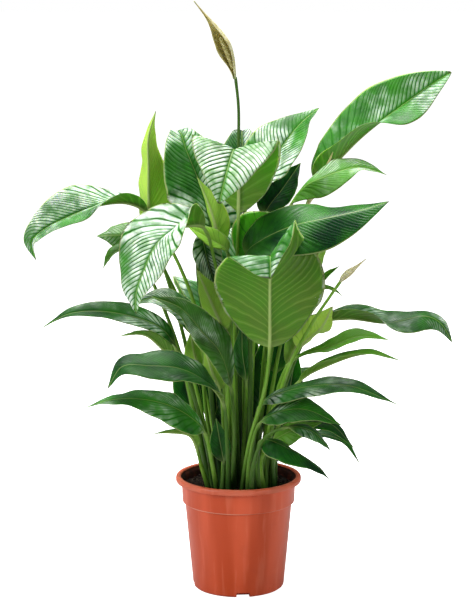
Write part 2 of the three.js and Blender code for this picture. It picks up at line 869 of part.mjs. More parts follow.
// The soil has fewer facets than the pot, so its corners need a wider gap to the pot's flats.
function pottingSoil() {
  const gap = 2 * CLEARANCE;
  const side = potInnerProfile(gap).slice(1).reverse();
  const topRadius = POT.bandBottomRadius - POT.wall - gap;
  let soil = turned([...side, [topRadius, SOIL.top], [0, SOIL.top]], SOIL.facets);
  for (const bearing of drainBearings) {
    soil = soil.subtract(drainHood(bearing, CLEARANCE));
  }
  return toGeometry(soil);
}

// ---- the plant in its pot --------------------------------------------------------------------------

const plant = new THREE.Group();

function addPart(name, geometry, color, roughness) {
  const material = new THREE.MeshStandardMaterial({ color, roughness, metalness: 0 });
  const mesh = new THREE.Mesh(geometry, material);
  mesh.name = name;
  plant.add(mesh);
}

addPart('nursery_pot', nurseryPot(), COLOURS.terracotta, 0.45);
addPart('potting_soil', pottingSoil(), COLOURS.soil, 0.95);

addPart('tall_flower_stalk', flowerStalk(TALL_FLOWER), COLOURS.stalk, 0.5);
addPart('tall_flower_spathe', spatheSolid(TALL_FLOWER), COLOURS.spathe, 0.5);
addPart('tall_flower_spadix', spadixGeometry(TALL_FLOWER), COLOURS.spadix, 0.7);
addPart('small_flower_stalk', flowerStalk(SMALL_FLOWER), COLOURS.stalk, 0.5);
addPart('small_flower_spathe', spatheSolid(SMALL_FLOWER), COLOURS.spathe, 0.5);
addPart('furled_bud_stalk', flowerStalk(FURLED_BUD), COLOURS.stalk, 0.5);
addPart('furled_bud', spatheSolid(FURLED_BUD), COLOURS.spathe, 0.5);

for (const [name, leaf] of Object.entries(LEAVES)) {
  addPart(name, leafGeometry(leaf), COLOURS.leaf, 0.35);
}

export default plant;
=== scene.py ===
# %% [markdown]
# # A peace lily in a nursery pot
# The plant is a crowd of glossy leaves on long stalks, three slim flowers, a pot and its soil. Almost
# everything follows one rule: a leaf is a midrib curve, two half blades that rise or hang from it, and
# side veins that sweep from the midrib towards the tip. So the lesson builds that rule once and grows
# every leaf from a short list of its own sizes.

# %% Load the fixed frame
import bpy
import bmesh
import math
import mathutils
import numpy as np
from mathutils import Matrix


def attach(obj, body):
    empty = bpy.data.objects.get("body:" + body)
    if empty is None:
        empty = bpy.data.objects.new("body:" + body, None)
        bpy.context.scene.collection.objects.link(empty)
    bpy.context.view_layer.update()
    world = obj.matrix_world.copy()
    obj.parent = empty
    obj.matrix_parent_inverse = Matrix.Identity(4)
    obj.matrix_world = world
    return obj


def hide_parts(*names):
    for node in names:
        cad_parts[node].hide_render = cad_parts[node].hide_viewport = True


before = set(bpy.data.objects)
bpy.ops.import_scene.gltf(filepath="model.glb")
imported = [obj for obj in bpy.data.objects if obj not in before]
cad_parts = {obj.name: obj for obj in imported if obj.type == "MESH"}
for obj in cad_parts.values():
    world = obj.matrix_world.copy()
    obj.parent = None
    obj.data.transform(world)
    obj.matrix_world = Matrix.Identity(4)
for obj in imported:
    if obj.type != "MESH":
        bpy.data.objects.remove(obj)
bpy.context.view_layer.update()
MM = 0.001
print("nodes in the frame:", len(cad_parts))

# %% [markdown]
# ## Camera, light and floor
# The camera stands a little above the plant and looks down at it by about ten degrees, with a long lens
# that keeps the pot's sides nearly upright. The light is that of a white studio: a bright surround, a
# wide soft box overhead that makes the blades gleam, a tall one at the left and a weaker one at the right.

# %% Camera
EYE_HEIGHT = 0.842
EYE_DISTANCE = 2.6
AIM_HEIGHT = 0.39495
camera_data = bpy.data.cameras.new("camera")
camera_data.lens = 118.47
camera_data.sensor_fit = "VERTICAL"
camera_data.sensor_height = 36.0
camera_data.shift_x = -1.0 / 600.0
camera_data.clip_end = 100.0
camera = bpy.data.objects.new("camera", camera_data)
bpy.context.scene.collection.objects.link(camera)
camera.location = (0.0, -EYE_DISTANCE, EYE_HEIGHT)
look_down = math.atan2(EYE_HEIGHT - AIM_HEIGHT, EYE_DISTANCE)
camera.rotation_euler = (math.radians(90) - look_down, 0.0, 0.0)
bpy.context.scene.camera = camera
print("camera looks down by", round(math.degrees(look_down), 1), "degrees")

# %% Light
scene = bpy.context.scene
scene.view_settings.view_transform = "Standard"
world = bpy.data.worlds.new("studio")
scene.world = world
world.use_nodes = True
nodes, links = world.node_tree.nodes, world.node_tree.links
nodes.clear()
surround = nodes.new("ShaderNodeBackground")
surround.inputs["Color"].default_value = (1.0, 1.0, 1.0, 1.0)
surround.inputs["Strength"].default_value = 0.14
seen = nodes.new("ShaderNodeBackground")
seen.inputs["Color"].default_value = (1.0, 1.0, 1.0, 1.0)
seen.inputs["Strength"].default_value = 1.0
path = nodes.new("ShaderNodeLightPath")
choose = nodes.new("ShaderNodeMixShader")
world_out = nodes.new("ShaderNodeOutputWorld")
links.new(path.outputs["Is Camera Ray"], choose.inputs["Fac"])
links.new(surround.outputs["Background"], choose.inputs[1])
links.new(seen.outputs["Background"], choose.inputs[2])
links.new(choose.outputs["Shader"], world_out.inputs["Surface"])


def soft_box(name, place, aim, size, power):
    """A square area light at place that shines towards aim."""
    data = bpy.data.lights.new(name, "AREA")
    data.shape = "RECTANGLE"
    data.size, data.size_y = size
    data.energy = power
    lamp = bpy.data.objects.new(name, data)
    scene.collection.objects.link(lamp)
    lamp.location = place
    away = [a - p for a, p in zip(aim, place)]
    lamp.rotation_euler = mathutils.Vector(away).to_track_quat("-Z", "Y").to_euler()
    return lamp


soft_box("overhead", (-0.3, 0.5, 2.6), (0.0, 0.0, 0.5), (1.6, 1.2), 118.0)
soft_box("left_front", (-2.2, -1.6, 1.5), (0.0, 0.0, 0.4), (0.8, 1.7), 58.0)
soft_box("right_front", (2.0, -1.8, 1.0), (0.0, 0.0, 0.25), (0.4, 1.6), 24.0)

# %% Floor
floor_mesh = bpy.data.meshes.new("floor")
reach = 30.0
floor_mesh.from_pydata(
    [(-reach, -reach, 0), (reach, -reach, 0), (reach, reach, 0), (-reach, reach, 0)], [], [(0, 1, 2, 3)]
)
floor = bpy.data.objects.new("floor", floor_mesh)
scene.collection.objects.link(floor)
paper = bpy.data.materials.new("studio_paper")
paper.use_nodes = True
paper_skin = paper.node_tree.nodes["Principled BSDF"]
paper_skin.inputs["Base Color"].default_value = (0.9, 0.9, 0.9, 1.0)
paper_skin.inputs["Roughness"].default_value = 0.9
paper_skin.inputs["Specular IOR Level"].default_value = 0.1
paper_skin.inputs["Emission Color"].default_value = (1.0, 1.0, 1.0, 1.0)
paper_light = paper.node_tree.nodes.new("ShaderNodeLightPath")
paper_glow = paper.node_tree.nodes.new("ShaderNodeMath")
paper_glow.operation = "MULTIPLY_ADD"
paper_glow.inputs[1].default_value = 0.9
paper_glow.inputs[2].default_value = 0.12
paper.node_tree.links.new(paper_light.outputs["Is Camera Ray"], paper_glow.inputs[0])
paper.node_tree.links.new(paper_glow.outputs[0], paper_skin.inputs["Emission Strength"])
paper_tint = paper.node_tree.nodes.new("ShaderNodeMix")
paper_tint.data_type = "RGBA"
paper_tint.inputs[6].default_value = (0.42, 0.42, 0.42, 1.0)
paper_tint.inputs[7].default_value = (0.9, 0.9, 0.9, 1.0)
paper.node_tree.links.new(paper_light.outputs["Is Camera Ray"], paper_tint.inputs[0])
paper.node_tree.links.new(paper_tint.outputs[2], paper_skin.inputs["Base Color"])
floor_mesh.materials.append(paper)

# %% [markdown]
# ## The list of leaves
# One entry for each leaf, in millimetres, in the pot's frame. `foot` is where the stalk leaves the soil,
# `stalk` are points on its way up, `blade` is the midrib from the collar to the tip. `left` and `right`
# say how far each half rises out of the level, in degrees, at even steps towards the tip, and `curl` how
# far it bends down to its margin. `tone` runs from 0, an old dark leaf, to 1, a fresh bright one; where
# one half of a blade is darker than the other, that is painted shade. `young` is for the yellow-green
# ones, and `silver` is how much painted sheen a leaf has: pale silvery bands between its
# veins, a painted highlight.

# %% The leaves' sizes
LEAVES = {
    "leaf_top_right": dict(
        foot=(14, 8), stalk=[(60, 10, 405)],
        blade=[
            (105, 35, 550), (130, 40, 575), (165, 40, 610),
            (225, 50, 655), (260, 50, 680), (285, 55, 695),
        ],
        width=108, left=[75, 50, 48, 60, 75, 70], right=[80, 40, 20, -20, -40, -30], curl=[10, 15, 25],
        peak=0.48, full=0.6, tone=0.42, young=0, silver=0.42,
    ),
    "leaf_upper_right": dict(
        foot=(6, 24), stalk=[(5, 40, 390)],
        blade=[(10, 40, 515), (35, 60, 555), (60, 70, 595), (85, 80, 625), (110, 90, 645)],
        width=102, left=[20, 20, 10], right=[20, 15, 10], curl=[10],
        bearing=50, peak=0.5, tone=0.35, young=0, silver=0.7,
    ),
    "leaf_upper_back": dict(
        foot=(0, 30), stalk=[(0, 50, 385)],
        blade=[(0, 80, 500), (5, 95, 560), (5, 110, 595), (5, 125, 610), (10, 145, 605)],
        width=76, left=[15], right=[15], curl=[15],
        bearing=90, tone=0.1, young=0, silver=0.6,
    ),
    "leaf_crown_folded": dict(
        foot=(0, -6), stalk=[(-5, -15, 345)],
        blade=[(0, -20, 515), (0, -10, 560), (-5, -35, 600), (-15, -70, 575), (-25, -90, 535)],
        width=122, left=[15, 5, 14, 15], right=[60, 30, 12, 20], curl=[10, 15, 30],
        bearing=-90, peak=0.5, full=0.65, tone=0.4, young=0.05, silver=0.95,
    ),
    "leaf_front_broad": dict(
        foot=(4, -38), stalk=[(15, -75, 220), (35, -100, 300)],
        blade=[(40, -100, 350), (40, -110, 400), (40, -120, 445), (40, -140, 475), (40, -165, 450)],
        width=152, left=[15, 10, 5, 50, 70], right=[15, 10, -5, 10], curl=[10, 10],
        bearing=-90, peak=0.62, full=0.33, tone=0.3, young=0, silver=0.5,
    ),
    "leaf_right_trough": dict(
        foot=(14, -18), stalk=[(15, -45, 350)],
        blade=[
            (10, -55, 465), (30, -65, 485), (70, -75, 505),
            (110, -80, 515), (160, -70, 525), (195, -60, 535),
        ],
        width=98, left=[50, 35, 25, 15, 15, 10], right=[0, -30, -50, -58, -50, -30], curl=[10, 15],
        # One half of this blade is darkened as painted shade.
        peak=0.42, full=0.7, tone=0.24, young=0, silver=0, painted_half_shade=0.12,
    ),
    "leaf_front_left": dict(
        foot=(-6, -30), stalk=[(-10, -40, 335), (-30, -50, 450)],
        blade=[
            (-45, -60, 500), (-65, -75, 505), (-85, -90, 500), (-105, -105, 485),
            (-120, -120, 455), (-130, -130, 425), (-130, -135, 400),
        ],
        width=114, left=[85, 20, 5, 5], right=[60, 25, 10, 10], curl=[20, 15],
        peak=0.45, full=0.75, tone=0.4, young=0, silver=1,
    ),
    "leaf_far_left": dict(
        foot=(-22, 0), stalk=[(-60, -5, 395)],
        blade=[
            (-120, 5, 510), (-145, 0, 525), (-180, -15, 525), (-225, -30, 510),
            (-255, -40, 495), (-270, -40, 480), (-265, -45, 455),
        ],
        width=80, left=[60, 30, -5, -5, -5], right=[50, 25, 50, 65, 55, 40], curl=[10, 20],
        peak=0.5, full=0.8, tone=0.35, young=0, silver=0.7,
    ),
    "leaf_left_upright": dict(
        foot=(-27, 21), stalk=[(-65, 50, 345)],
        blade=[(-115, 30, 470), (-120, 25, 520), (-120, 20, 570), (-120, 25, 610), (-110, 30, 645)],
        width=76, left=[30, 30, 45, 40], right=[60, 67, 67, 50], curl=[5],
        bearing=-90, peak=0.35, tone=1, young=1, silver=0.45,
    ),
    "leaf_upper_left": dict(
        foot=(-10, 16), stalk=[(-25, 20, 350)],
        blade=[(-35, 25, 475), (-50, 40, 540), (-70, 50, 590), (-80, 65, 615), (-90, 80, 610)],
        width=125, left=[20, 15, 10], right=[20, 15, 10], curl=[15],
        bearing=115, full=0.75, tone=0.35, young=0, silver=0.8,
    ),
    "leaf_centre_slender": dict(
        foot=(-8, 0), stalk=[(-15, -5, 340)],
        blade=[(-25, -5, 465), (-35, 0, 510), (-55, 5, 560)],
        width=46, left=[55], right=[45], curl=[5],
        bearing=-120, tone=0.8, young=0.8, silver=0.2,
    ),
    "leaf_centre_bright": dict(
        foot=(-14, -14), stalk=[(-10, -30, 360)],
        blade=[(-15, -30, 465), (-35, -30, 480), (-70, -30, 500)],
        width=40, left=[-10, -20, -10], right=[50, 45, 30], curl=[20],
        full=0.7, tone=0.9, young=0.6, silver=0.1,
    ),
    "leaf_centre_hanging": dict(
        foot=(-24, -12), stalk=[(-45, -15, 355), (-55, -10, 450)],
        blade=[(-50, -15, 485), (-40, -35, 450), (-25, -40, 410)],
        width=42, left=[15], right=[15], curl=[10],
        bearing=-70, tone=0.1, young=0, silver=0.85,
    ),
    "leaf_centre_young": dict(
        foot=(-12, -24), stalk=[(-15, -40, 270)],
        blade=[(-20, -50, 360), (-35, -55, 400), (-55, -50, 445)],
        width=46, left=[25], right=[25], curl=[10],
        bearing=-110, tone=0.8, young=0.6, silver=0.1,
    ),
    "leaf_left_dark": dict(
        foot=(-8, -40), stalk=[(-5, -55, 230)],
        blade=[(-10, -60, 290), (-25, -75, 340), (-45, -85, 365), (-75, -90, 400), (-115, -85, 415)],
        width=66, left=[-35, -35, -30], right=[40, 55, 50], curl=[15, 20],
        tone=0.2, young=0.06, silver=0.4,
    ),
    "leaf_left_silver": dict(
        foot=(-28, 8), stalk=[(-45, 5, 255)],
        blade=[(-50, 5, 335), (-80, 0, 385), (-110, -10, 400), (-145, -10, 390)],
        width=64, left=[-20, -25, -20], right=[40, 30, 20], curl=[20],
        tone=0.3, young=0, silver=0.65,
    ),
    "leaf_left_long": dict(
        foot=(-31, -15), stalk=[(-50, -20, 235)],
        blade=[(-85, -30, 340), (-105, -35, 365), (-165, -40, 385), (-220, -45, 385), (-260, -45, 365)],
        width=42, left=[-30, -20, -10], right=[45, 40, 40, 30], curl=[20],
        full=0.8, tone=0.2, young=0, silver=0.35,
    ),
    "leaf_left_slender": dict(
        foot=(-34, -4), stalk=[(-45, -5, 220)],
        blade=[(-70, -10, 310), (-95, -10, 325), (-125, -15, 350), (-160, -20, 350)],
        width=36, left=[60, 50, 40], right=[25, 20, 20], curl=[10],
        tone=0.4, young=0, silver=0.1,
    ),
    "leaf_lower_left": dict(
        foot=(-12, -46), stalk=[(-15, -70, 220)],
        blade=[
            (-20, -70, 270), (-40, -85, 300), (-75, -90, 320),
            (-115, -95, 325), (-150, -100, 325), (-170, -100, 295),
        ],
        width=72, left=[20, -15, -24, -20], right=[20, 28, 25, 20], curl=[20],
        peak=0.5, full=0.75, tone=0.15, young=0, silver=0.38,
    ),
    "leaf_bottom_left": dict(
        foot=(-28, -36), stalk=[(-35, -55, 185)],
        blade=[
            (-45, -65, 230), (-60, -75, 250), (-90, -85, 270),
            (-130, -90, 280), (-170, -100, 280), (-200, -100, 270),
        ],
        width=66, left=[-50, -40, -20, -10], right=[20, 22, 12, 10], curl=[15],
        peak=0.36, tone=0.3, young=0, silver=0.35,
    ),
    "leaf_bottom_left_small": dict(
        foot=(-40, -18), stalk=[(-50, -25, 175)],
        blade=[(-55, -40, 200), (-65, -45, 220), (-90, -50, 225), (-115, -55, 225)],
        width=24, left=[60, 45, 20], right=[20], curl=[10],
        tone=0.4, young=0.1, silver=0.1,
    ),
    "leaf_base_small": dict(
        foot=(-23, -47), stalk=[(-20, -50, 170)],
        blade=[(-20, -50, 185), (-25, -50, 215), (-30, -50, 245)],
        width=30, left=[15], right=[15], curl=[10],
        bearing=90, tone=0.12, young=0, silver=0.1,
    ),
    "leaf_right_twisted": dict(
        foot=(23, 15), stalk=[(40, 15, 365)],
        blade=[
            (70, 0, 525), (90, -5, 550), (110, -10, 560),
            (135, -15, 570), (160, -15, 575), (195, -20, 565),
        ],
        width=52, left=[0, 10, 40, 45, 40], right=[-40, -70, -60, -20, 0], curl=[10],
        tone=0.5, young=0.1, silver=0.4,
    ),
    "leaf_upper_right_shaded": dict(
        foot=(10, 32), stalk=[(15, 50, 360)],
        blade=[(35, 70, 500), (60, 80, 535), (85, 90, 570)],
        width=56, left=[10], right=[10], curl=[10],
        bearing=60, full=0.8, tone=0, young=0, silver=0.05,
    ),
    "leaf_right_behind": dict(
        foot=(26, 6), stalk=[(55, 10, 325)],
        blade=[(80, 10, 415), (100, 10, 445), (120, 15, 475)],
        width=52, left=[20], right=[20], curl=[20],
        bearing=-60, tone=0.6, young=0.4, silver=0.1,
    ),
    "leaf_right_young": dict(
        foot=(36, 14), stalk=[(65, 20, 295)],
        blade=[(100, 20, 395), (115, 15, 420), (135, 10, 440)],
        width=28, left=[40], right=[-10], curl=[10],
        tone=0.6, young=0.2, silver=0.1,
    ),
    "leaf_right_curled_tip": dict(
        foot=(22, -14), stalk=[(45, -10, 245)],
        blade=[(65, -15, 310), (90, -20, 370), (105, -15, 410), (125, -5, 410), (140, 0, 400)],
        width=46, left=[10, 10, 20, 40], right=[60, 50, 30, -20], curl=[10],
        bearing=0, tone=0.4, young=0.2, silver=0.2,
    ),
    "leaf_far_right": dict(
        foot=(37, 1), stalk=[(60, 0, 270)],
        blade=[
            (105, 5, 360), (145, 0, 370), (200, -5, 365),
            (250, -10, 375), (270, -10, 365), (285, -15, 340),
        ],
        width=64, left=[40, 40, 20, 10, 40], right=[50, 45, 25, -30, -60, -50], curl=[10, 20],
        peak=0.5, full=0.7, tone=0.2, young=0, silver=0.5,
    ),
    "leaf_right_pale": dict(
        foot=(30, -23), stalk=[(50, -25, 250)],
        blade=[(80, -30, 335), (110, -35, 365), (125, -20, 390)],
        width=54, left=[25], right=[25], curl=[20],
        bearing=-60, full=0.7, tone=0.9, young=0.85, silver=0.1,
    ),
    "leaf_right_narrow_upper": dict(
        foot=(35, -33), stalk=[(45, -35, 250)],
        blade=[(70, -40, 320), (120, -45, 340), (160, -50, 355), (200, -50, 350)],
        width=40, left=[10, 20, 35, 30], right=[0, -10, 0], curl=[15],
        peak=0.55, tone=0.65, young=0.2, silver=0.35,
    ),
    "leaf_right_narrow_lower": dict(
        foot=(42, -22), stalk=[(55, -40, 240)],
        blade=[(80, -50, 295), (120, -60, 320), (170, -65, 335), (215, -65, 325)],
        width=38, left=[30, 20, 20, 30], right=[40, 30, 10, -10], curl=[15],
        tone=0.5, young=0.2, silver=0.3,
    ),
    "leaf_lower_right_long": dict(
        foot=(20, -44), stalk=[(20, -60, 220)],
        blade=[(30, -75, 270), (65, -85, 290), (140, -100, 300), (210, -110, 275)],
        width=60, left=[5, 5, 15, 10], right=[-35, -20, -10, 0], curl=[20],
        tone=0.15, young=0, silver=0.35,
    ),
    "leaf_lower_right_broad": dict(
        foot=(12, -54), stalk=[(15, -80, 200)],
        blade=[(30, -90, 250), (80, -105, 270), (135, -115, 250)],
        width=66, left=[10, 15, 10], right=[-25, -20, -5], curl=[20],
        tone=0.25, young=0, silver=0.35,
    ),
    "leaf_lower_right_silver": dict(
        foot=(16, -62), stalk=[(20, -95, 195), (35, -115, 235)],
        blade=[(65, -120, 250), (95, -125, 245), (120, -130, 220)],
        width=36, left=[5, 0, 0], right=[-25, -25, -20], curl=[15],
        tone=0.15, young=0, silver=0.7,
    ),
    "leaf_lower_right_olive": dict(
        foot=(34, -46), stalk=[(30, -55, 190)],
        blade=[(45, -60, 215), (75, -70, 235), (110, -75, 245)],
        width=46, left=[30, 20, 10], right=[-40, -40, -20], curl=[15],
        tone=0.35, young=0.2, silver=0.1,
    ),
    "leaf_lower_right_outer": dict(
        foot=(46, -34), stalk=[(50, -45, 215)],
        blade=[(80, -50, 235), (120, -60, 240), (155, -65, 205)],
        width=36, left=[20, 10, 0], right=[-20, -20, 0], curl=[20],
        tone=0.15, young=0, silver=0.1,
    ),
    "leaf_lower_right_slender": dict(
        foot=(48, -8), stalk=[(55, -15, 195)],
        blade=[(90, -20, 215), (135, -25, 210), (165, -30, 175)],
        width=26, left=[20], right=[-10, 10], curl=[20],
        tone=0.15, young=0, silver=0.1,
    ),
    "leaf_bottom_right": dict(
        foot=(28, -58), stalk=[(25, -80, 190)],
        blade=[(30, -90, 225), (65, -115, 220), (100, -125, 200), (120, -130, 180)],
        width=60, left=[-5, -25, -20], right=[-35, -20, 0], curl=[20],
        tone=0.1, young=0, silver=0.1,
    ),
    "leaf_left_behind": dict(
        foot=(-37, 14), stalk=[(-80, 40, 360)],
        blade=[(-120, 20, 470), (-155, 15, 480), (-190, 10, 480)],
        width=54, left=[-60, -70, -50], right=[35, 35, 30], curl=[10],
        tone=0.3, young=0.1, silver=0.3,
    ),
    "leaf_left_behind_small": dict(
        foot=(-38, 4), stalk=[(-90, 30, 350)],
        blade=[(-145, 0, 465), (-165, -10, 460), (-180, -15, 440)],
        width=24, left=[10], right=[30, 30, 30], curl=[10],
        tone=0.3, young=0.1, silver=0.1,
    ),
    "leaf_right_cupped": dict(
        foot=(13, 20), stalk=[(20, 0, 340)],
        blade=[(25, -20, 440), (40, -25, 465), (60, -25, 485), (85, -25, 510)],
        width=122, left=[80, 80, 75, 60], right=[-60, -60, -50], curl=[10],
        bearing=0, peak=0.36, full=0.8, tone=0.85, young=0.05, silver=0,
    ),
    "leaf_inner_centre": dict(
        foot=(4, -17), stalk=[],
        blade=[(10, -25, 290), (5, -25, 330), (5, -20, 370)],
        width=30, left=[25], right=[25], curl=[10],
        bearing=90, tone=0.3, young=0, silver=0.1,
    ),
    "leaf_inner_right": dict(
        foot=(31, 24), stalk=[],
        blade=[(50, 25, 290), (55, 30, 320), (60, 30, 355)],
        width=34, left=[15], right=[15], curl=[10],
        bearing=70, tone=0.2, young=0, silver=0.1,
    ),
    "leaf_inner_left": dict(
        foot=(-19, 13), stalk=[],
        blade=[(-50, 20, 285), (-60, 20, 320), (-65, 25, 350)],
        width=32, left=[30], right=[30], curl=[5],
        bearing=-70, tone=0.6, young=0.5, silver=0.1,
    ),
    "leaf_inner_front": dict(
        foot=(-21, -27), stalk=[(-20, -30, 225)],
        blade=[(-25, -35, 280), (-35, -35, 305), (-45, -30, 335)],
        width=36, left=[25], right=[25], curl=[5],
        bearing=-110, tone=0.6, young=0.5, silver=0.1,
    ),
    "leaf_back_high": dict(
        foot=(-2, 42), stalk=[(-5, 75, 300)],
        blade=[(-5, 100, 400), (0, 150, 465), (-10, 225, 450), (-15, 285, 375)],
        width=98, left=[15], right=[15], curl=[15],
        tone=0.3, young=0, silver=0.6,
    ),
    "leaf_back_right": dict(
        foot=(18, 38), stalk=[(30, 70, 250)],
        blade=[(45, 100, 350), (60, 155, 400), (80, 235, 375), (90, 280, 315)],
        width=88, left=[15], right=[15], curl=[15],
        tone=0.25, young=0, silver=0.5,
    ),
    "leaf_back_left": dict(
        foot=(-16, 36), stalk=[(-30, 65, 250)],
        blade=[(-40, 95, 345), (-50, 150, 390), (-60, 225, 365), (-65, 270, 300)],
        width=84, left=[15], right=[15], curl=[15],
        tone=0.2, young=0, silver=0.5,
    ),
    "leaf_back_low": dict(
        foot=(8, 50), stalk=[(10, 80, 190)],
        blade=[(10, 110, 240), (15, 165, 270), (20, 245, 245), (20, 290, 195)],
        width=74, left=[10], right=[10], curl=[15],
        tone=0.2, young=0, silver=0.4,
    ),
    "leaf_back_low_right": dict(
        foot=(30, 34), stalk=[(42, 65, 190)],
        blade=[(55, 95, 235), (70, 145, 262), (83, 210, 255), (88, 250, 225)],
        width=64, left=[10], right=[10], curl=[15],
        tone=0.35, young=0.1, silver=0.4,
    ),
    "leaf_back_low_left": dict(
        foot=(-28, 30), stalk=[(-38, 60, 190)],
        blade=[(-48, 90, 250), (-66, 140, 280), (-85, 200, 272), (-92, 235, 245)],
        width=62, left=[10], right=[10], curl=[15],
        tone=0.3, young=0, silver=0.4,
    ),
}
print("leaves:", len(LEAVES))

# %% [markdown]
# ## The midrib
# A smooth curve runs through the foot, the stalk's points and the midrib's points. At each place on it
# the leaf needs three directions: forward along the curve, sideways across the blade, and up out of its
# upper face. Sideways comes from the way that the leaf faces, so a blade that arches over and hangs
# down doesn't twist on the way.

# %% Curves and directions
CURVE_STEPS = 24  # points made between two given points of a curve


def smooth_curve(points):
    """Centripetal Catmull-Rom points through a list of points."""
    places = [np.array(p, float) for p in points]
    places = [2 * places[0] - places[1]] + places + [2 * places[-1] - places[-2]]
    out = []
    for p0, p1, p2, p3 in zip(places, places[1:], places[2:], places[3:]):
        pairs = ((p0, p1), (p1, p2), (p2, p3))
        d0, d1, d2 = [max(float((b - a) @ (b - a)) ** 0.25, 1e-4) for a, b in pairs]
        start = ((p1 - p0) / d0 - (p2 - p0) / (d0 + d1) + (p2 - p1) / d1) * d1
        end = ((p2 - p1) / d1 - (p3 - p1) / (d1 + d2) + (p3 - p2) / d2) * d1
        square = 3 * (p2 - p1) - 2 * start - end
        cube = 2 * (p1 - p2) + start + end
        for k in range(CURVE_STEPS):
            t = k / CURVE_STEPS
            out.append(p1 + start * t + square * t**2 + cube * t**3)
    out.append(places[-2])
    return np.array(out)


def along(values, share):
    """Values spaced evenly over 0 to 1, read at share with a smooth curve through them."""
    values = np.atleast_1d(np.array(values, float))
    if len(values) == 1:
        return np.full_like(share, values[0])
    place = np.clip(share, 0, 1) * (len(values) - 1)
    i = np.minimum(place.astype(int), len(values) - 2)
    f = place - i
    a, b = values[np.maximum(i - 1, 0)], values[i]
    c, d = values[i + 1], values[np.minimum(i + 2, len(values) - 1)]
    return b + 0.5 * f * (c - a + f * (2 * a - 5 * b + 4 * c - d + f * (3 * (b - c) + d - a)))


class Midrib:
    """Places and directions along one leaf or stalk, by distance in millimetres."""

    def __init__(self, points, collar_index, bearing):
        self.line = smooth_curve(points)
        hops = np.linalg.norm(np.diff(self.line, axis=0), axis=1)
        self.distance = np.concatenate([[0], np.cumsum(hops)])
        self.length = self.distance[-1]
        self.collar = self.distance[collar_index * CURVE_STEPS]
        turn = math.radians(bearing)
        self.level = np.array([math.sin(turn), -math.cos(turn), 0.0])

    def place(self, s):
        return np.stack([np.interp(s, self.distance, self.line[:, k]) for k in range(3)], -1)

    def directions(self, s):
        step = self.length * 0.004
        forward = self.place(np.minimum(s + step, self.length)) - self.place(np.maximum(s - step, 0))
        forward /= np.linalg.norm(forward, axis=-1, keepdims=True)
        side = self.level - (forward @ self.level)[..., None] * forward
        side /= np.linalg.norm(side, axis=-1, keepdims=True)
        return forward, side, np.cross(side, forward)


# %% [markdown]
# ## One leaf's surface
# The mesh is a tube of rings that is round on the stalk and flattens into the blade, so stalk and blade
# are one closed skin. On the blade the rings are swept forward like the side veins, so that a vein runs
# along a row of vertices and can be raised or sunk cleanly. Each vertex keeps what the later steps need:
# how far along and across it lies, which vein it is near, and which face it is on.

# %% Helpers for meshes
def ring_faces(steps, sides):
    """The four-sided faces between rings of vertices that lie one after the other."""
    faces = []
    for i in range(steps - 1):
        for j in range(sides):
            a, b = i * sides + j, i * sides + (j + 1) % sides
            faces.append((a, b, b + sides, a + sides))
    return faces


def new_mesh(name, verts, faces):
    """A mesh from places in millimetres."""
    mesh = bpy.data.meshes.new(name)
    mesh.from_pydata((np.asarray(verts, float) * MM).tolist(), [], faces)
    mesh.update()
    return mesh


def closed_tube(name, rings, first_end, last_end):
    """A closed mesh from rings, each end closed on one point."""
    steps, sides = rings.shape[:2]
    first, last = steps * sides, steps * sides + 1
    faces = ring_faces(steps, sides)
    for j in range(sides):
        k = (j + 1) % sides
        faces.append((k, j, first))
        faces.append((first - sides + j, first - sides + k, last))
    return new_mesh(name, np.concatenate([rings.reshape(-1, 3), [first_end], [last_end]]), faces)


def face_out(mesh):
    """Recalculates the normals of a closed shell so that they point outwards."""
    work = bmesh.new()
    work.from_mesh(mesh)
    bmesh.ops.recalc_face_normals(work, faces=work.faces)
    work.to_mesh(mesh)
    work.free()


def point_field(mesh, key, values):
    """Keeps one number for each vertex."""
    field = mesh.attributes.new(key, "FLOAT", "POINT")
    field.data.foreach_set("value", np.asarray(values, np.float32))


def new_piece(name, mesh, *materials):
    for material in materials:
        mesh.materials.append(material)
    mesh.shade_smooth()
    piece = bpy.data.objects.new(name, mesh)
    scene.collection.objects.link(piece)
    return piece

# %% The blade's outline and its sheet
VEIN_SWEEP = 0.44  # how far a side vein runs forward on its way to the margin, as a share of what is left
SHEET = 0.55  # thickness of a blade, mm
SOIL_TOP = 140.0  # height of the soil, mm
BURIED = 7.0  # how deep a stalk reaches into the soil, mm
STALK_FOOT = 4.2  # radius of a leaf's stalk at the soil, mm
STALK_TOP = 2.2  # and at the collar, mm


def outline(share, peak, full):
    """Half width as a share of the widest, from the collar (0) to the tip (1)."""
    power = math.log(0.5) / math.log(peak)
    bulge = np.maximum(np.sin(np.pi * np.clip(share, 0, 1) ** power), 0)
    return bulge**full * (1 - 0.55 * share**4)


def ease(low, high, x):
    t = np.clip((x - low) / (high - low), 0, 1)
    return t * t * (3 - 2 * t)


def sheet_points(leaf, rib, share, s, q, flat):
    """Points of the unthickened sheet. share: along the blade, s: distance, q: across, -1 to 1."""
    forward, side, up = rib.directions(s)
    on_stalk = STALK_FOOT + (STALK_TOP - STALK_FOOT) * np.clip(s / rib.collar, 0, 1) ** 0.8
    radius = np.where(s < rib.collar, on_stalk, STALK_TOP * (1 - share) ** 0.8 + 0.2)
    shape = outline(share, leaf.get("peak", 0.4), leaf.get("full", 0.9))
    half = np.maximum(leaf["width"] / 2 * shape, radius * 0.9)
    rise = np.where(q < 0, along(leaf["left"], share), along(leaf["right"], share)) * flat
    curl = np.radians(np.maximum(np.abs(along(leaf["curl"], share)), 0.01)) * flat + 1e-4
    first = np.radians(rise) + curl / 2
    k = np.abs(q)
    across = (np.sin(first) - np.sin(first - curl * k)) / curl * np.sign(q) * half
    above = (np.cos(first - curl * k) - np.cos(first)) / curl * half
    return rib.place(s) + side * across[..., None] + up * above[..., None], half, radius


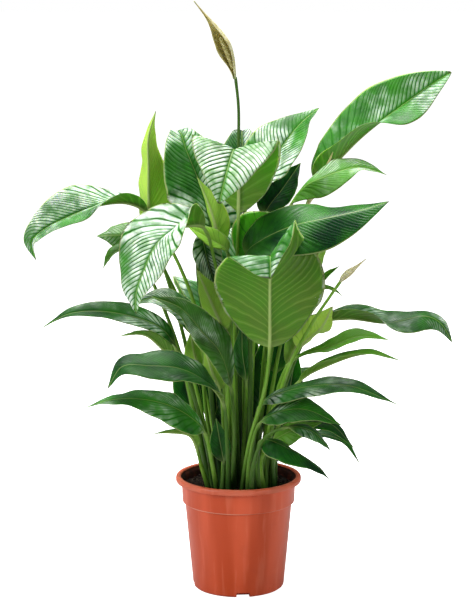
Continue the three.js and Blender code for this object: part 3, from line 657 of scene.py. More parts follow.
# %% From the sheet to a closed mesh
def leaf_mesh(name, leaf):
    points = [(*leaf["foot"], SOIL_TOP), *leaf["stalk"], *leaf["blade"]]
    start, end = leaf["blade"][0], leaf["blade"][-1]
    outward = math.degrees(math.atan2(end[1] - start[1], end[0] - start[0]))
    rib = Midrib(points, 1 + len(leaf["stalk"]), leaf.get("bearing", outward))
    blade_length = rib.length - rib.collar
    veins = max(9, round(blade_length / (4.6 + leaf["width"] * 0.027)))
    steps = 5 * veins
    wide = 8 if leaf["width"] < 45 else (11 if leaf["width"] < 80 else 15)
    q = np.linspace(-1, 1, 2 * wide + 1)
    q = np.sign(q) * np.abs(q) ** 1.35
    stalk_rows = np.concatenate([np.linspace(0, 0.9, 18), [0.93, 0.955, 0.975, 0.99]])
    rows = np.concatenate([stalk_rows - 1, np.linspace(0, 0.992, steps)])
    u, across = np.meshgrid(rows, q, indexing="ij")
    inner = np.clip(u, 0, 1)
    sweep = VEIN_SWEEP * np.abs(across) ** 0.85 * ease(0, 0.3, inner) * (1 - inner)
    share = np.clip(inner + sweep, 0, 1)
    s = np.where(u < 0, (u + 1) * rib.collar, rib.collar + share * blade_length)
    flat = ease(rib.collar - 12, rib.collar + 2, s)
    sheet, half, radius = sheet_points(leaf, rib, share, s, across, flat)

    # The way that the upper face points, from the sheet itself.
    run = np.gradient(sheet, axis=0)
    cross = np.gradient(sheet, axis=1)
    normal = np.cross(cross, run)
    normal /= np.maximum(np.linalg.norm(normal, axis=-1, keepdims=True), 1e-9)

    # Heights of the top and the underside over the sheet: round on the stalk, thin on the blade.
    x = np.abs(across) * half
    knee = 0.7 * np.exp(-(((s - rib.collar + 7) / 6) ** 2))
    round_part = np.sqrt(np.maximum(1 - across**2, 0)) * (radius + knee)
    blade_part = ease(rib.collar - 10, rib.collar + 14, s)
    edge = np.sqrt(np.maximum(1 - np.abs(across) ** 10, 0.0))
    rib_size = radius * 1.05
    keel = rib_size * np.exp(-((x / (rib_size * 1.25)) ** 2))
    groove = 0.45 * np.exp(-((x / 1.6) ** 2)) * blade_part
    top = (1 - blade_part) * round_part * 0.8 + blade_part * SHEET / 2 * edge - groove
    under = (1 - blade_part) * round_part + blade_part * (SHEET / 2 * edge + keel)

    upper = sheet + normal * top[..., None]
    lower = sheet - normal * under[..., None]
    ring = np.concatenate([upper, lower[:, -2:0:-1]], axis=1)

    def around(values, below=None):
        below = values if below is None else below
        return np.concatenate([values, below[:, -2:0:-1]], axis=1)

    zeros, ones = np.zeros_like(s), np.ones_like(s)
    margins = ease(0, 5, x) * (1 - np.abs(across) ** 6)
    # One half of a blade may be darker than the other: this is painted shade, laid into the tone.
    tone_with_painted_shade = leaf["tone"] - leaf.get("painted_half_shade", 0.0) * ease(0, 0.25, across)
    fields = {
        "along": around(np.where(u < 0, u, share)),
        "across": around(across),
        "vein": around(inner * veins),
        "off_rib": around(x),
        "blade": around(blade_part),
        "under": around(zeros, ones),
        "relief": around(blade_part * margins * ease(1.0, 0.86, share) * ease(0, 0.06, share)),
        "tone": around(np.clip(tone_with_painted_shade, 0, 1)),
        "young": around(ones * leaf["young"]),
        "silver": around(ones * leaf["silver"]),
    }
    lift = around(normal)

    # The foot goes straight down into the soil, and both ends close on one point.
    foot = ring[:1].copy()
    foot[..., 2] = SOIL_TOP - BURIED
    tip = rib.place(np.array([rib.length]))[0]
    mesh = closed_tube(name, np.concatenate([foot, ring]), foot[0].mean(0), tip)
    for key, values in fields.items():
        ends = [values[0, 0]], [values[-1, 0]]
        point_field(mesh, key, np.concatenate([values[0], values.ravel(), *ends]))
    lifts = np.concatenate([lift[0], lift.reshape(-1, 3), np.zeros((2, 3))]).astype(np.float32)
    mesh.attributes.new("lift", "FLOAT_VECTOR", "POINT").data.foreach_set("vector", lifts.ravel())
    return mesh, veins


# %% [markdown]
# ## Relief on the blade
# A peace lily's blade is quilted: it is sunk along each side vein and swells between them, and its
# margins ripple. Geometry Nodes do this, because the rule is the same for every leaf and only its sizes
# change. The tree moves each vertex along the sheet's own up direction, so both faces of the thin blade
# move together.

# %% A helper for node trees
class Tree:
    """Adds nodes to a node tree and wires them, so that a formula reads like one."""

    def __init__(self, tree):
        self.tree = tree

    def add(self, kind, inputs=(), **settings):
        node = self.tree.nodes.new(kind)
        for key, value in settings.items():
            setattr(node, key, value)
        for key, value in dict(inputs).items():
            self.put(value, node.inputs[key])
        return node

    def put(self, value, socket):
        if isinstance(value, bpy.types.NodeSocket):
            self.tree.links.new(value, socket)
        elif isinstance(value, bpy.types.Node):
            self.tree.links.new(value.outputs[0], socket)
        else:
            socket.default_value = value

    def math(self, operation, *values, clamp=False):
        node = self.add("ShaderNodeMath", operation=operation, use_clamp=clamp)
        for value, socket in zip(values, node.inputs):
            self.put(value, socket)
        return node.outputs[0]

    def times(self, first, *others):
        for other in others:
            first = self.math("MULTIPLY", first, other)
        return first

    def plus(self, first, *others):
        for other in others:
            first = self.math("ADD", first, other)
        return first

    def ramp(self, value, low, high, out_low=0.0, out_high=1.0):
        """A smooth step from out_low at low to out_high at high."""
        node = self.add("ShaderNodeMapRange", interpolation_type="SMOOTHSTEP")
        keys = ("Value", "From Min", "From Max", "To Min", "To Max")
        for key, item in zip(keys, (value, low, high, out_low, out_high)):
            self.put(item, node.inputs[key])
        return node.outputs["Result"]

    def noise(self, place, scale, detail):
        node = self.add("ShaderNodeTexNoise", {"Vector": place, "Scale": scale, "Detail": detail})
        return node.outputs["Fac"]

    def field(self, name):
        return self.add("ShaderNodeAttribute", attribute_name=name).outputs["Fac"]

    def stretched(self, place, scale, rotation=(0.0, 0.0, 0.0)):
        settings = {"Vector": place, "Rotation": rotation, "Scale": scale}
        return self.add("ShaderNodeMapping", settings).outputs[0]

    def bump(self, shader, height, distance, strength):
        settings = {"Height": height, "Distance": distance, "Strength": strength}
        self.put(self.add("ShaderNodeBump", settings), shader.inputs["Normal"])

    def colour(self, share, one, two):
        """Colour one where share is 0, colour two where it is 1."""
        node = self.add("ShaderNodeMix", data_type="RGBA")
        self.put(share, node.inputs[0])
        self.put(one, node.inputs[6])
        self.put(two, node.inputs[7])
        return node.outputs[2]


def open_group(name, kind, inputs, outputs):
    """A new node group with named sockets: (name, socket type, default)."""
    group = bpy.data.node_groups.new(name, kind)
    for label, socket_type, default in inputs:
        socket = group.interface.new_socket(name=label, in_out="INPUT", socket_type=socket_type)
        if default is not None:
            socket.default_value = default
    for label, socket_type in outputs:
        group.interface.new_socket(name=label, in_out="OUTPUT", socket_type=socket_type)
    tree = Tree(group)
    return group, tree, tree.add("NodeGroupInput").outputs, tree.add("NodeGroupOutput").inputs


def open_modifier(name, sizes):
    """A Geometry Nodes group that takes a mesh, some sizes and a material."""
    geometry = ("Geometry", "NodeSocketGeometry")
    inputs = [(*geometry, None), *sizes, ("Material", "NodeSocketMaterial", None)]
    group, tree, given, result = open_group(name, "GeometryNodeTree", inputs, [geometry])
    group.is_modifier = True
    return group, tree, given, result


def close_modifier(tree, geometry, given, result):
    """Makes instances real, smooths and dresses them, and sends them out."""
    real = tree.add("GeometryNodeRealizeInstances", {"Geometry": geometry})
    smooth = tree.add("GeometryNodeSetShadeSmooth", {"Geometry": real})
    dressed = {"Geometry": smooth, "Material": given["Material"]}
    tree.put(tree.add("GeometryNodeSetMaterial", dressed), result["Geometry"])


# %% The relief tree
def build_leaf_relief():
    group, tree, given, result = open_modifier(
        "leaf_relief",
        [
            ("Vein Depth", "NodeSocketFloat", 0.0006),
            ("Ripple Height", "NodeSocketFloat", 0.001),
            ("Ripples", "NodeSocketFloat", 4.0),
            ("Unevenness", "NodeSocketFloat", 1.0),
            ("Seed", "NodeSocketFloat", 0.0),
        ],
    )
    m, times, plus, ramp = tree.math, tree.times, tree.plus, tree.ramp

    def field(name, kind="FLOAT"):
        node = tree.add("GeometryNodeInputNamedAttribute", {"Name": name}, data_type=kind)
        return node.outputs["Attribute"]

    # Sunk at whole numbers of "vein", swollen between them.
    swell = m("POWER", m("ABSOLUTE", m("SINE", times(field("vein"), math.pi))), 0.75)
    patches = tree.add("ShaderNodeTexNoise", {"Scale": 26.0, "Detail": 2.0}).outputs["Fac"]
    uneven = plus(1.0, times(m("SUBTRACT", patches, 0.5), times(given["Unevenness"], 3.2)))
    depth = times(given["Vein Depth"], m("MAXIMUM", uneven, 0.15))
    quilt = times(m("SUBTRACT", swell, 0.6), depth, field("relief"))
    # A ripple that grows towards the margin and differs from side to side.
    across = field("across")
    phase = plus(times(field("along"), given["Ripples"]), times(m("SIGN", across), 0.21))
    wave = m("SINE", times(plus(phase, given["Seed"]), math.tau))
    second = m("SINE", times(plus(times(phase, 1.7), given["Seed"]), math.tau))
    ripple = plus(wave, times(second, 0.5))
    hem = times(across, across, field("blade"), given["Ripple Height"])
    ends = times(ramp(field("along"), 0.0, 0.15), ramp(field("along"), 1.0, 0.85))
    height = plus(quilt, times(ripple, hem, ends))
    offset = tree.add("ShaderNodeVectorMath", operation="SCALE")
    tree.put(field("lift", "FLOAT_VECTOR"), offset.inputs[0])
    tree.put(height, offset.inputs["Scale"])
    moved = tree.add("GeometryNodeSetPosition", {"Geometry": given["Geometry"], "Offset": offset.outputs[0]})
    close_modifier(tree, moved, given, result)
    return group


LEAF_RELIEF = build_leaf_relief()


def grow(name, mesh, group, values):
    """Runs a Geometry Nodes tree on a mesh and returns a finished object with a plain mesh."""
    source = bpy.data.objects.new(name + "_source", mesh)
    scene.collection.objects.link(source)
    modifier = source.modifiers.new("grow", "NODES")
    modifier.node_group = group
    for item in group.interface.items_tree:
        if item.in_out == "INPUT" and item.name in values:
            modifier[item.identifier] = values[item.name]
    source.update_tag()
    graph = bpy.context.evaluated_depsgraph_get()
    plain = bpy.data.meshes.new_from_object(source.evaluated_get(graph), depsgraph=graph)
    plain.name = name
    bpy.data.objects.remove(source)
    piece = bpy.data.objects.new(name, plain)
    scene.collection.objects.link(piece)
    return piece


print("relief inputs:", [i.name for i in LEAF_RELIEF.interface.items_tree if i.in_out == "INPUT"])

# %% [markdown]
# ## What a leaf looks like
# The upper face is deep green and waxy, with silvery bands of painted sheen between the veins, a painted
# highlight where the quilting would catch the light. The underside is matte and paler, with a raised
# yellow-green midrib. Young leaves are yellow-green. One group works out vein lines, mottling and
# margins from the fields on the mesh, and the leaf's material places it. The stalk belongs to the same
# skin, so the group turns to stalk green below the collar.

# %% The group for plant skin
def build_plant_skin():
    group, tree, given, result = open_group(
        "plant_skin",
        "ShaderNodeTree",
        [
            ("Upper Dark", "NodeSocketColor", (0.003, 0.028, 0.008, 1)),
            ("Upper Light", "NodeSocketColor", (0.045, 0.31, 0.003, 1)),
            ("Under", "NodeSocketColor", (0.12, 0.2, 0.026, 1)),
            ("Young", "NodeSocketColor", (0.47, 0.74, 0.1, 1)),
            ("Painted Sheen", "NodeSocketColor", (0.82, 0.95, 0.82, 1)),
            ("Rib", "NodeSocketColor", (0.36, 0.47, 0.16, 1)),
            ("Stalk", "NodeSocketColor", (0.17, 0.38, 0.03, 1)),
        ],
        [("Colour", "NodeSocketColor"), ("Roughness", "NodeSocketFloat"), ("Height", "NodeSocketFloat")],
    )

    m, times, plus, ramp = tree.math, tree.times, tree.plus, tree.ramp
    colour, field = tree.colour, tree.field
    place = tree.add("ShaderNodeTexCoord").outputs["Object"]

    def noise(scale, detail):
        return tree.noise(place, scale, detail)

    under, tone, blade = field("under"), field("tone"), field("blade")
    share, across, off_rib = field("along"), field("across"), field("off_rib")
    under = ramp(under, 0.3, 0.7)
    # Distance to the nearest side vein, 0 on it to 1 half way to the next, a little wandering.
    stray = times(m("SUBTRACT", noise(30.0, 2.0), 0.5), 0.85)
    course = plus(field("vein"), stray)
    swell = m("ABSOLUTE", m("SINE", times(course, math.pi)))
    vein = times(ramp(swell, 0.3, 0.05), ramp(noise(52.0, 2.0), 0.36, 0.6, 0.3, 1.0))
    fine = m("ABSOLUTE", m("SINE", times(course, math.pi * 4)))
    patch = noise(28.0, 3.0)
    speck = noise(420.0, 2.0)

    # Upper face: deep green, brighter on a fresh leaf, banded between the veins with silvery painted sheen.
    light = m("ADD", plus(tone, 0.06), times(m("SUBTRACT", patch, 0.5), 1.1), clamp=True)
    upper = colour(light, given["Upper Dark"], given["Upper Light"])
    broken = ramp(noise(70.0, 4.0), 0.34, 0.62, 0.3, 1.0)
    # The silvery bands are painted sheen: a painted highlight in the colour, kept off the midrib.
    silver = field("silver")
    painted_sheen_patches = plus(noise(15.0, 4.0), times(silver, 0.2))
    painted_sheen_mask = times(ramp(swell, 0.2, 0.72), ramp(painted_sheen_patches, 0.53, 0.7, 0.06, 1.0))
    painted_sheen_mask = times(painted_sheen_mask, broken, ramp(silver, 0.0, 0.6), ramp(off_rib, 0.5, 6.0))
    upper = colour(times(painted_sheen_mask, 0.84), upper, given["Painted Sheen"])
    sunk = times(vein, 0.6, ramp(share, 0.04, 0.3, 0.35, 1.0))
    upper = colour(sunk, upper, given["Upper Dark"])
    upper = colour(times(ramp(fine, 0.35, 0.0), 0.25), upper, given["Upper Dark"])
    # Underside: matte olive, with fine paler lines along the veins.
    lower = colour(times(ramp(patch, 0.3, 0.75), 0.3), given["Under"], given["Upper Light"])
    lower = colour(times(ramp(swell, 0.25, 0.7), 0.24), lower, given["Upper Dark"])
    lower = colour(times(ramp(swell, 0.2, 0.03), 0.28), lower, given["Rib"])
    lower = colour(times(ramp(fine, 0.35, 0.0), 0.3), lower, given["Upper Dark"])
    lower = colour(times(tone, 0.35), lower, given["Upper Light"])
    skin = colour(under, upper, lower)
    fresh = colour(times(vein, 0.5), given["Young"], given["Upper Light"])
    skin = colour(times(field("young"), 0.9), skin, fresh)
    # The midrib is a thin pale line above and a broad one underneath.
    line = ramp(off_rib, plus(0.9, times(under, 1.7)), 0.2)
    skin = colour(times(line, plus(0.5, times(under, 0.4))), skin, given["Rib"])
    # The very margin is a thin pale edge.
    hem = ramp(m("ABSOLUTE", across), 0.95, 0.985)
    skin = colour(times(hem, 0.8), skin, given["Rib"])
    # The tip dries first.
    skin = colour(times(ramp(share, 0.972, 0.995), 0.85), skin, (0.03, 0.018, 0.006, 1))
    # Stalk: darker near the soil, streaked along its length, paler at the knee below the blade.
    streak = tree.noise(tree.stretched(place, (1.0, 1.0, 0.06)), 420.0, 2.0)
    stem = colour(times(ramp(streak, 0.35, 0.7), 0.3), given["Stalk"], given["Rib"])
    stem = colour(ramp(tone, 0.42, 0.12, 0.0, 0.72), stem, given["Upper Dark"])
    stem = colour(times(ramp(share, -0.55, -1.0), 0.8), stem, given["Upper Dark"])
    stem = colour(times(ramp(share, -0.1, 0.0), 0.5), stem, given["Rib"])
    tree.put(colour(blade, stem, skin), result["Colour"])

    top_rough = plus(0.42, times(m("SUBTRACT", patch, 0.5), 0.18))
    rough = plus(times(top_rough, m("SUBTRACT", 1.0, under)), times(under, 0.55))
    rough = plus(times(rough, blade), times(m("SUBTRACT", 1.0, blade), 0.42))
    tree.put(rough, result["Roughness"])
    height = plus(times(speck, 0.25), times(fine, 0.5))
    tree.put(height, result["Height"])
    return group


PLANT_SKIN = build_plant_skin()


def new_material(name):
    """A material, its tree and its shader."""
    material = bpy.data.materials.new(name)
    material.use_nodes = True
    return material, Tree(material.node_tree), material.node_tree.nodes["Principled BSDF"]


def set_inputs(shader, values):
    for key, value in values.items():
        shader.inputs[key].default_value = value


def build_leaf_material():
    """A waxy plant material around the plant_skin group."""
    material, tree, shader = new_material("leaf_wax")
    skin = tree.add("ShaderNodeGroup", node_tree=PLANT_SKIN)
    tree.put(skin.outputs["Colour"], shader.inputs["Base Color"])
    tree.put(skin.outputs["Roughness"], shader.inputs["Roughness"])
    tree.bump(shader, skin.outputs["Height"], 0.00035, 0.35)
    wax = {"Coat Weight": 0.04, "Coat Roughness": 0.16, "Specular IOR Level": 0.13}
    glow = {"Subsurface Weight": 0.3, "Subsurface Radius": (0.5, 1.0, 0.15), "Subsurface Scale": 0.003}
    set_inputs(shader, {**wax, **glow})
    return material


LEAF_MATERIAL = build_leaf_material()

# %% Grow the leaves
def place_piece(piece, slot, *replaced):
    """Every piece rides on the one body and stands for its plain solid."""
    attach(piece, "root")
    if replaced:
        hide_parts(*replaced)


# Short inner leaves that stand among the stalks and fill the gaps there; their dark tone is painted shade.
SHOOTS = {
    "shoot_back": dict(foot=(0, 54), blade=[(0, 57, 205), (3, 60, 300), (2, 64, 395)], width=62),
    "shoot_back_left": dict(foot=(-20, 47), blade=[(-27, 50, 200), (-34, 53, 290), (-42, 55, 372)], width=56),
    "shoot_back_right": dict(foot=(21, 47), blade=[(31, 51, 200), (41, 54, 285), (50, 55, 370)], width=56),
    "shoot_left": dict(foot=(-40, 24), blade=[(-58, 34, 205), (-72, 38, 270), (-84, 40, 330)], width=40),
    "shoot_right": dict(foot=(40, 28), blade=[(58, 34, 205), (70, 38, 265), (80, 40, 325)], width=40),
    "shoot_low_left": dict(foot=(-12, 50), blade=[(-14, 52, 175), (-16, 53, 215), (-20, 53, 262)], width=38),
    "shoot_low_right": dict(foot=(12, 52), blade=[(14, 54, 175), (17, 55, 215), (22, 55, 262)], width=38),
}
for shoot in SHOOTS.values():
    shoot.update(stalk=[], left=[18], right=[18], curl=[10], bearing=90, peak=0.45)
    # The shoots' dark tone stands for the shade among the stalks: painted shade.
    shoot.update(tone=0.12, young=0.0, silver=0.12)

triangles = 0
for number, (name, leaf) in enumerate({**LEAVES, **SHOOTS}.items()):
    mesh, veins = leaf_mesh(name, leaf)
    piece = grow(
        "lily_" + name,
        mesh,
        LEAF_RELIEF,
        {
            "Vein Depth": 0.00012 + leaf["width"] * 0.0000055,
            "Ripple Height": leaf["width"] * 0.000012,
            "Ripples": 2.6 + (number % 5) * 0.35,
            "Seed": (number * 0.618) % 1.0,
            "Material": LEAF_MATERIAL,
        },
    )
    stands_for = [name] if name in LEAVES else []
    place_piece(piece, "leaf", *stands_for)
    triangles += sum(len(p.vertices) - 2 for p in piece.data.polygons)
print("leaves grown:", len(LEAVES), "and shoots:", len(SHOOTS), "triangles:", triangles)

# %% [markdown]
# ## Flower stalks
# A flower stands on a bare round stalk that leaves the soil among the leaf stalks. It is a tapering tube
# along a smooth curve, and it wears the same skin as the leaf stalks.

# %% Tubes along a curve
def tube_rings(points, radius_at, sides, steps):
    """Rings of points round a curve, and the share of its length at each."""
    rib = Midrib(points, 0, 0.0)
    share = np.linspace(0, 1, steps)
    s = share * rib.length
    forward, side, up = rib.directions(s)
    turn = np.linspace(0, 2 * math.pi, sides, endpoint=False)
    radius = radius_at(share)[:, None, None]
    cosine, sine = np.cos(turn)[None, :, None], np.sin(turn)[None, :, None]
    around = side[:, None] * cosine - up[:, None] * sine
    return rib.place(s)[:, None] + around * radius, share, rib


# %% The three flowers' sizes
FLOWERS = {
    "tall_flower": dict(
        stalk=[(2, 14, 140), (2, 24, 380), (0, 30, 590), (0, 26, 650), (-4, 20, 690)],
        spathe=[(-5, 19.5, 688), (-6.5, 19, 696), (-15, 15, 722), (-33, 8, 757), (-58, 0, 790)],
        roll=[2.2, 4.6, 7.6, 9.4, 8, 5.2, 2.6, 1.2, 0.7], gap=(40, 95, 90, 60, 30), facing=20,
        spadix=[(-8, 18, 702), (-14, 16, 720), (-24, 12, 742)], green=0.95, tone=0.0,
    ),
    "small_flower": dict(
        stalk=[
            (24, -33, 140), (44, -46, 238), (68, -52, 318),
            (98, -50, 375), (120, -44, 407), (134, -38, 426),
        ],
        spathe=[(133, -38.5, 425), (137, -37, 430), (145, -36, 437), (156, -35, 446), (168, -34, 456)],
        roll=[1.8, 3.6, 4.8, 3.6, 2.0, 1.0, 0.6], gap=(60, 110, 90, 50), facing=-70, green=0.3, tone=0.7,
    ),
    "furled_bud": dict(
        stalk=[(18, -4, 140), (32, -6, 260), (56, -6, 395), (81, 6, 488), (92, 14, 520)],
        spathe=[
            (92, 14.5, 520), (94, 15, 525), (103, 14, 541),
            (112, 14, 558), (119, 13, 576), (125, 11, 592),
        ],
        roll=[1.9, 3.2, 4.2, 3.8, 2.6, 1.4, 0.6], gap=(20, 30, 26, 12), facing=-90, green=0.1, tone=0.6,
    ),
}

# %% Grow the stalks
STALK_SIDES = 18
STALK_STEPS = 90
BARE_STALK = {"across": 0, "vein": 0, "off_rib": 50, "blade": 0, "under": 0, "young": 0, "silver": 0}


def stalk_radius(share):
    """Tapers upwards and has a small knee just under the flower."""
    return 2.7 - 0.75 * share + 0.25 * np.exp(-(((share - 0.985) / 0.01) ** 2))


for name, flower in FLOWERS.items():
    points = [(*flower["stalk"][0][:2], SOIL_TOP - BURIED), *flower["stalk"][1:]]
    rings, share, rib = tube_rings(points, stalk_radius, STALK_SIDES, STALK_STEPS)
    mesh = closed_tube("lily_" + name + "_stalk", rings, rings[0].mean(0), rings[-1].mean(0))
    face_out(mesh)
    height = np.concatenate([np.repeat(share, STALK_SIDES), [share[0], share[-1]]])
    point_field(mesh, "along", height * 0.86 - 1.0)
    for key, value in {**BARE_STALK, "tone": flower["tone"]}.items():
        point_field(mesh, key, np.full(len(mesh.vertices), value))
    piece = new_piece(mesh.name, mesh, LEAF_MATERIAL)
    place_piece(piece, "flower_stalk", name + "_stalk")
    print(piece.name, round(rib.length), "mm long")

# %% [markdown]
# ## Spathes
# The spathe is one leaf-like sheet, rolled round the flower spike and drawn out into a tail. Here the
# tall one has half opened: its two margins curl away from a slot, and its inside is olive green with
# pale slanting lines, the olive partly its own colour and partly painted shade inside the roll. Each
# sheet is a thin closed shell, with fields that say where on it a point lies.

# %% The rolled sheet
def spathe_mesh(name, flower):
    steps, arc = 84, 37
    rib = Midrib(flower["spathe"], 0, 0.0)
    share = np.linspace(0, 1, steps)
    forward, side, up = rib.directions(share * rib.length)
    across = np.linspace(-1, 1, arc)
    along_grid, across_grid = np.meshgrid(share, across, indexing="ij")
    gap = along(flower["gap"], share)[:, None]
    turn = np.radians(flower["facing"] - gap / 2 - (360 - gap) * (across_grid + 1) / 2)
    roll = along(flower["roll"], share)[:, None]
    # The margins curl away from the roll, the back carries a keel, and the veins stand a little proud.
    lip = np.abs(across_grid) ** 7 * 0.3 * np.sin(math.pi * np.clip(along_grid * 1.15, 0, 1))
    wave = 0.04 * np.sin(along_grid * 21 + across_grid * 2) * np.abs(across_grid) ** 3
    slant = along_grid * 24 + across_grid * 5.5
    ridge = 0.016 * np.cos(slant * math.pi) ** 2 * np.sin(math.pi * along_grid)
    keel = 0.12 * np.exp(-((across_grid / 0.06) ** 2))
    outer = roll * (1 + lip + wave + ridge + keel)
    inner = np.maximum(outer - 0.55, outer * 0.45)

    def sheet(radius):
        x, y = radius * np.cos(turn), radius * np.sin(turn)
        middle = rib.place(share * rib.length)[:, None]
        return middle + side[:, None] * x[..., None] + up[:, None] * y[..., None]

    ring = np.concatenate([sheet(outer), sheet(inner)[:, ::-1]], axis=1)
    count = 2 * arc
    faces = ring_faces(steps, count)
    for base, flip in ((0, True), ((steps - 1) * count, False)):
        for j in range(arc - 1):
            face = (base + j, base + j + 1, base + count - 2 - j, base + count - 1 - j)
            faces.append(face[::-1] if flip else face)
    mesh = new_mesh(name, ring.reshape(-1, 3), faces)
    face_out(mesh)
    for key, grid in (("along", along_grid), ("across", across_grid)):
        point_field(mesh, key, np.concatenate([grid, grid[:, ::-1]], axis=1).ravel())
    outside = np.zeros_like(along_grid)
    point_field(mesh, "inside", np.concatenate([outside, outside + 1], axis=1).ravel())
    point_field(mesh, "green", np.full(len(mesh.vertices), flower["green"]))
    return mesh


# %% Spathe material
def slanting_bands(tree, place):
    """0 on a pale line, 1 half way to the next; the lines lean down to the right across the flower."""
    spot = tree.add("ShaderNodeSeparateXYZ", {"Vector": place})
    bend = tree.noise(place, 60.0, 2.0)
    course = tree.plus(spot.outputs["Z"], tree.times(spot.outputs["X"], 0.62))
    course = tree.plus(tree.times(course, 140.0), tree.times(bend, 0.4))
    return tree.math("ABSOLUTE", tree.math("SINE", tree.times(course, math.pi)))


def build_spathe_material():
    material, tree, shader = new_material("spathe_cream")
    place = tree.add("ShaderNodeTexCoord").outputs["Object"]
    mottle = tree.noise(place, 130.0, 4.0)
    share, across = tree.field("along"), tree.math("ABSOLUTE", tree.field("across"))
    cream = tree.colour(tree.ramp(mottle, 0.3, 0.7), (0.62, 0.55, 0.24, 1), (0.8, 0.76, 0.5, 1))
    cream = tree.colour(tree.times(tree.ramp(share, 0.55, 0.95), 0.6), cream, (0.6, 0.5, 0.17, 1))
    # Green gathers at the base, inside the roll, and between the slanting veins; inside the roll the olive is
    # partly the spathe's own green and partly painted shade.
    bands = slanting_bands(tree, place)
    inside = tree.ramp(tree.field("inside"), 0.3, 0.7)
    body = tree.times(tree.ramp(share, 0.66, 0.55), tree.ramp(across, 0.97, 0.8))
    olive = tree.times(inside, tree.field("green"), body, tree.ramp(bands, 0.16, 0.5, 0.05, 1.0))
    skin = tree.colour(olive, cream, (0.42, 0.38, 0.115, 1))
    lines = tree.times(tree.ramp(bands, 0.35, 0.0), 0.35, tree.ramp(share, 0.8, 0.6))
    skin = tree.colour(lines, skin, (0.2, 0.26, 0.07, 1))
    foot = tree.times(tree.ramp(share, 0.1, 0.0), 0.7)
    tip = tree.times(tree.ramp(share, 0.9, 1.0), 0.55)
    skin = tree.colour(tree.math("MAXIMUM", foot, tip), skin, (0.2, 0.3, 0.06, 1))
    tree.put(skin, shader.inputs["Base Color"])
    tree.put(tree.ramp(mottle, 0.2, 0.8, 0.42, 0.6), shader.inputs["Roughness"])
    grain = tree.noise(place, 900.0, 2.0)
    tree.bump(shader, grain, 0.0002, 0.3)
    glow = {"Subsurface Weight": 0.15, "Subsurface Radius": (1.0, 0.8, 0.3), "Subsurface Scale": 0.002}
    set_inputs(shader, glow)
    return material


SPATHE_MATERIAL = build_spathe_material()
for name, flower in FLOWERS.items():
    node = name if name == "furled_bud" else name + "_spathe"
    mesh = spathe_mesh("lily_" + node, flower)
    piece = new_piece(mesh.name, mesh, SPATHE_MATERIAL)
    place_piece(piece, "spathe", node)
    print(piece.name, len(mesh.polygons), "faces")

# %% [markdown]
# ## The flower spike
# Inside the tall spathe stands the spadix, a finger covered in tiny knobbly flowers. Geometry Nodes set
# one small bead on every point of a plain finger, turned to face outwards.

# %% The bead tree
def build_bead_tree():
    group, tree, given, result = open_modifier(
        "spadix_beads",
        [
            ("Bead Size", "NodeSocketFloat", 0.0005),
            ("Seed", "NodeSocketInt", 3),
        ],
    )
    bead = tree.add("GeometryNodeMeshIcoSphere", {"Radius": given["Bead Size"], "Subdivisions": 1})
    normal = tree.add("GeometryNodeInputNormal")
    aim = tree.add("FunctionNodeAlignRotationToVector", {"Vector": normal.outputs[0]}, axis="Z")
    size = tree.add("FunctionNodeRandomValue", data_type="FLOAT")
    tree.put(0.8, size.inputs["Min"])
    tree.put(1.15, size.inputs["Max"])
    tree.put(given["Seed"], size.inputs["Seed"])
    placed = {"Points": given["Geometry"], "Instance": bead.outputs["Mesh"], "Rotation": aim}
    beads = tree.add("GeometryNodeInstanceOnPoints", placed)
    tree.put(size.outputs["Value"], beads.inputs["Scale"])
    both = tree.add("GeometryNodeJoinGeometry")
    tree.put(given["Geometry"], both.inputs[0])
    tree.put(beads, both.inputs[0])
    close_modifier(tree, both, given, result)
    return group


def build_spadix_material():
    material, tree, shader = new_material("spadix_pollen")
    place = tree.add("ShaderNodeTexCoord").outputs["Object"]
    dust = tree.noise(place, 700.0, 3.0)
    bloom = tree.ramp(slanting_bands(tree, place), 0.5, 0.16)
    pollen = tree.colour(tree.ramp(dust, 0.35, 0.65), (0.38, 0.34, 0.11, 1), (0.52, 0.48, 0.2, 1))
    tree.put(tree.colour(tree.times(bloom, 0.8), pollen, (0.72, 0.66, 0.36, 1)), shader.inputs["Base Color"])
    tree.put(tree.ramp(dust, 0.3, 0.7, 0.6, 0.85), shader.inputs["Roughness"])
    return material


# %% Grow the spike
def finger(share):
    return 2.7 * np.maximum(np.sin(math.pi * (0.08 + 0.84 * share)) ** 0.5, 0.3)


rings, share, rib = tube_rings(FLOWERS["tall_flower"]["spadix"], finger, 18, 40)
mesh = closed_tube("spike", rings, rings[0].mean(0), rings[-1].mean(0))
face_out(mesh)
bead_sizes = {"Bead Size": 0.0005, "Seed": 3, "Material": build_spadix_material()}
piece = grow("lily_tall_flower_spadix", mesh, build_bead_tree(), bead_sizes)
place_piece(piece, "spadix", "tall_flower_spadix")
print("spike:", len(piece.data.polygons), "faces")

# %% [markdown]
# ## The pot
# A thin-walled plastic nursery pot: a tapering wall, a wider band above a small step, a rolled rim, a
# rounded base and four drain notches under raised hoods. It is a profile turned round the upright axis
# with every corner rounded, then the hoods are added and the notches cut.

# %% The pot's profile
POT_OUTSIDE = [
    (0, 0), (55, 0), (57.4, 0.15), (59.3, 0.8), (60.8, 2.0), (61.7, 3.4), (62.05, 5.0), (62.9, 16),
    (66.2, 50), (69.4, 84), (72.35, 116.6), (72.6, 118.3), (73.3, 118.9), (75.1, 119.2), (75.85, 119.7),
    (76.15, 120.6), (76.1, 122.2), (76.2, 124), (77.1, 144.6), (77.35, 146.4), (78.2, 147), (83.2, 147),
    (84.3, 147.35), (84.9, 148.3), (85, 149.6), (85, 151.6), (84.7, 153.2), (83.8, 154.4), (82.4, 155),
    (80.2, 155), (79.0, 154.7), (78.2, 153.9), (78, 152.6),
]
POT_INSIDE = [
    (76.6, 149.2), (75.3, 146.5), (74.1, 122.6), (73.7, 121.4), (70.6, 117.6), (70.3, 116.2), (66, 70),
    (60.4, 8), (59.6, 4.6), (57.4, 2.6), (54, 2), (0, 2),
]
TURNS = 160


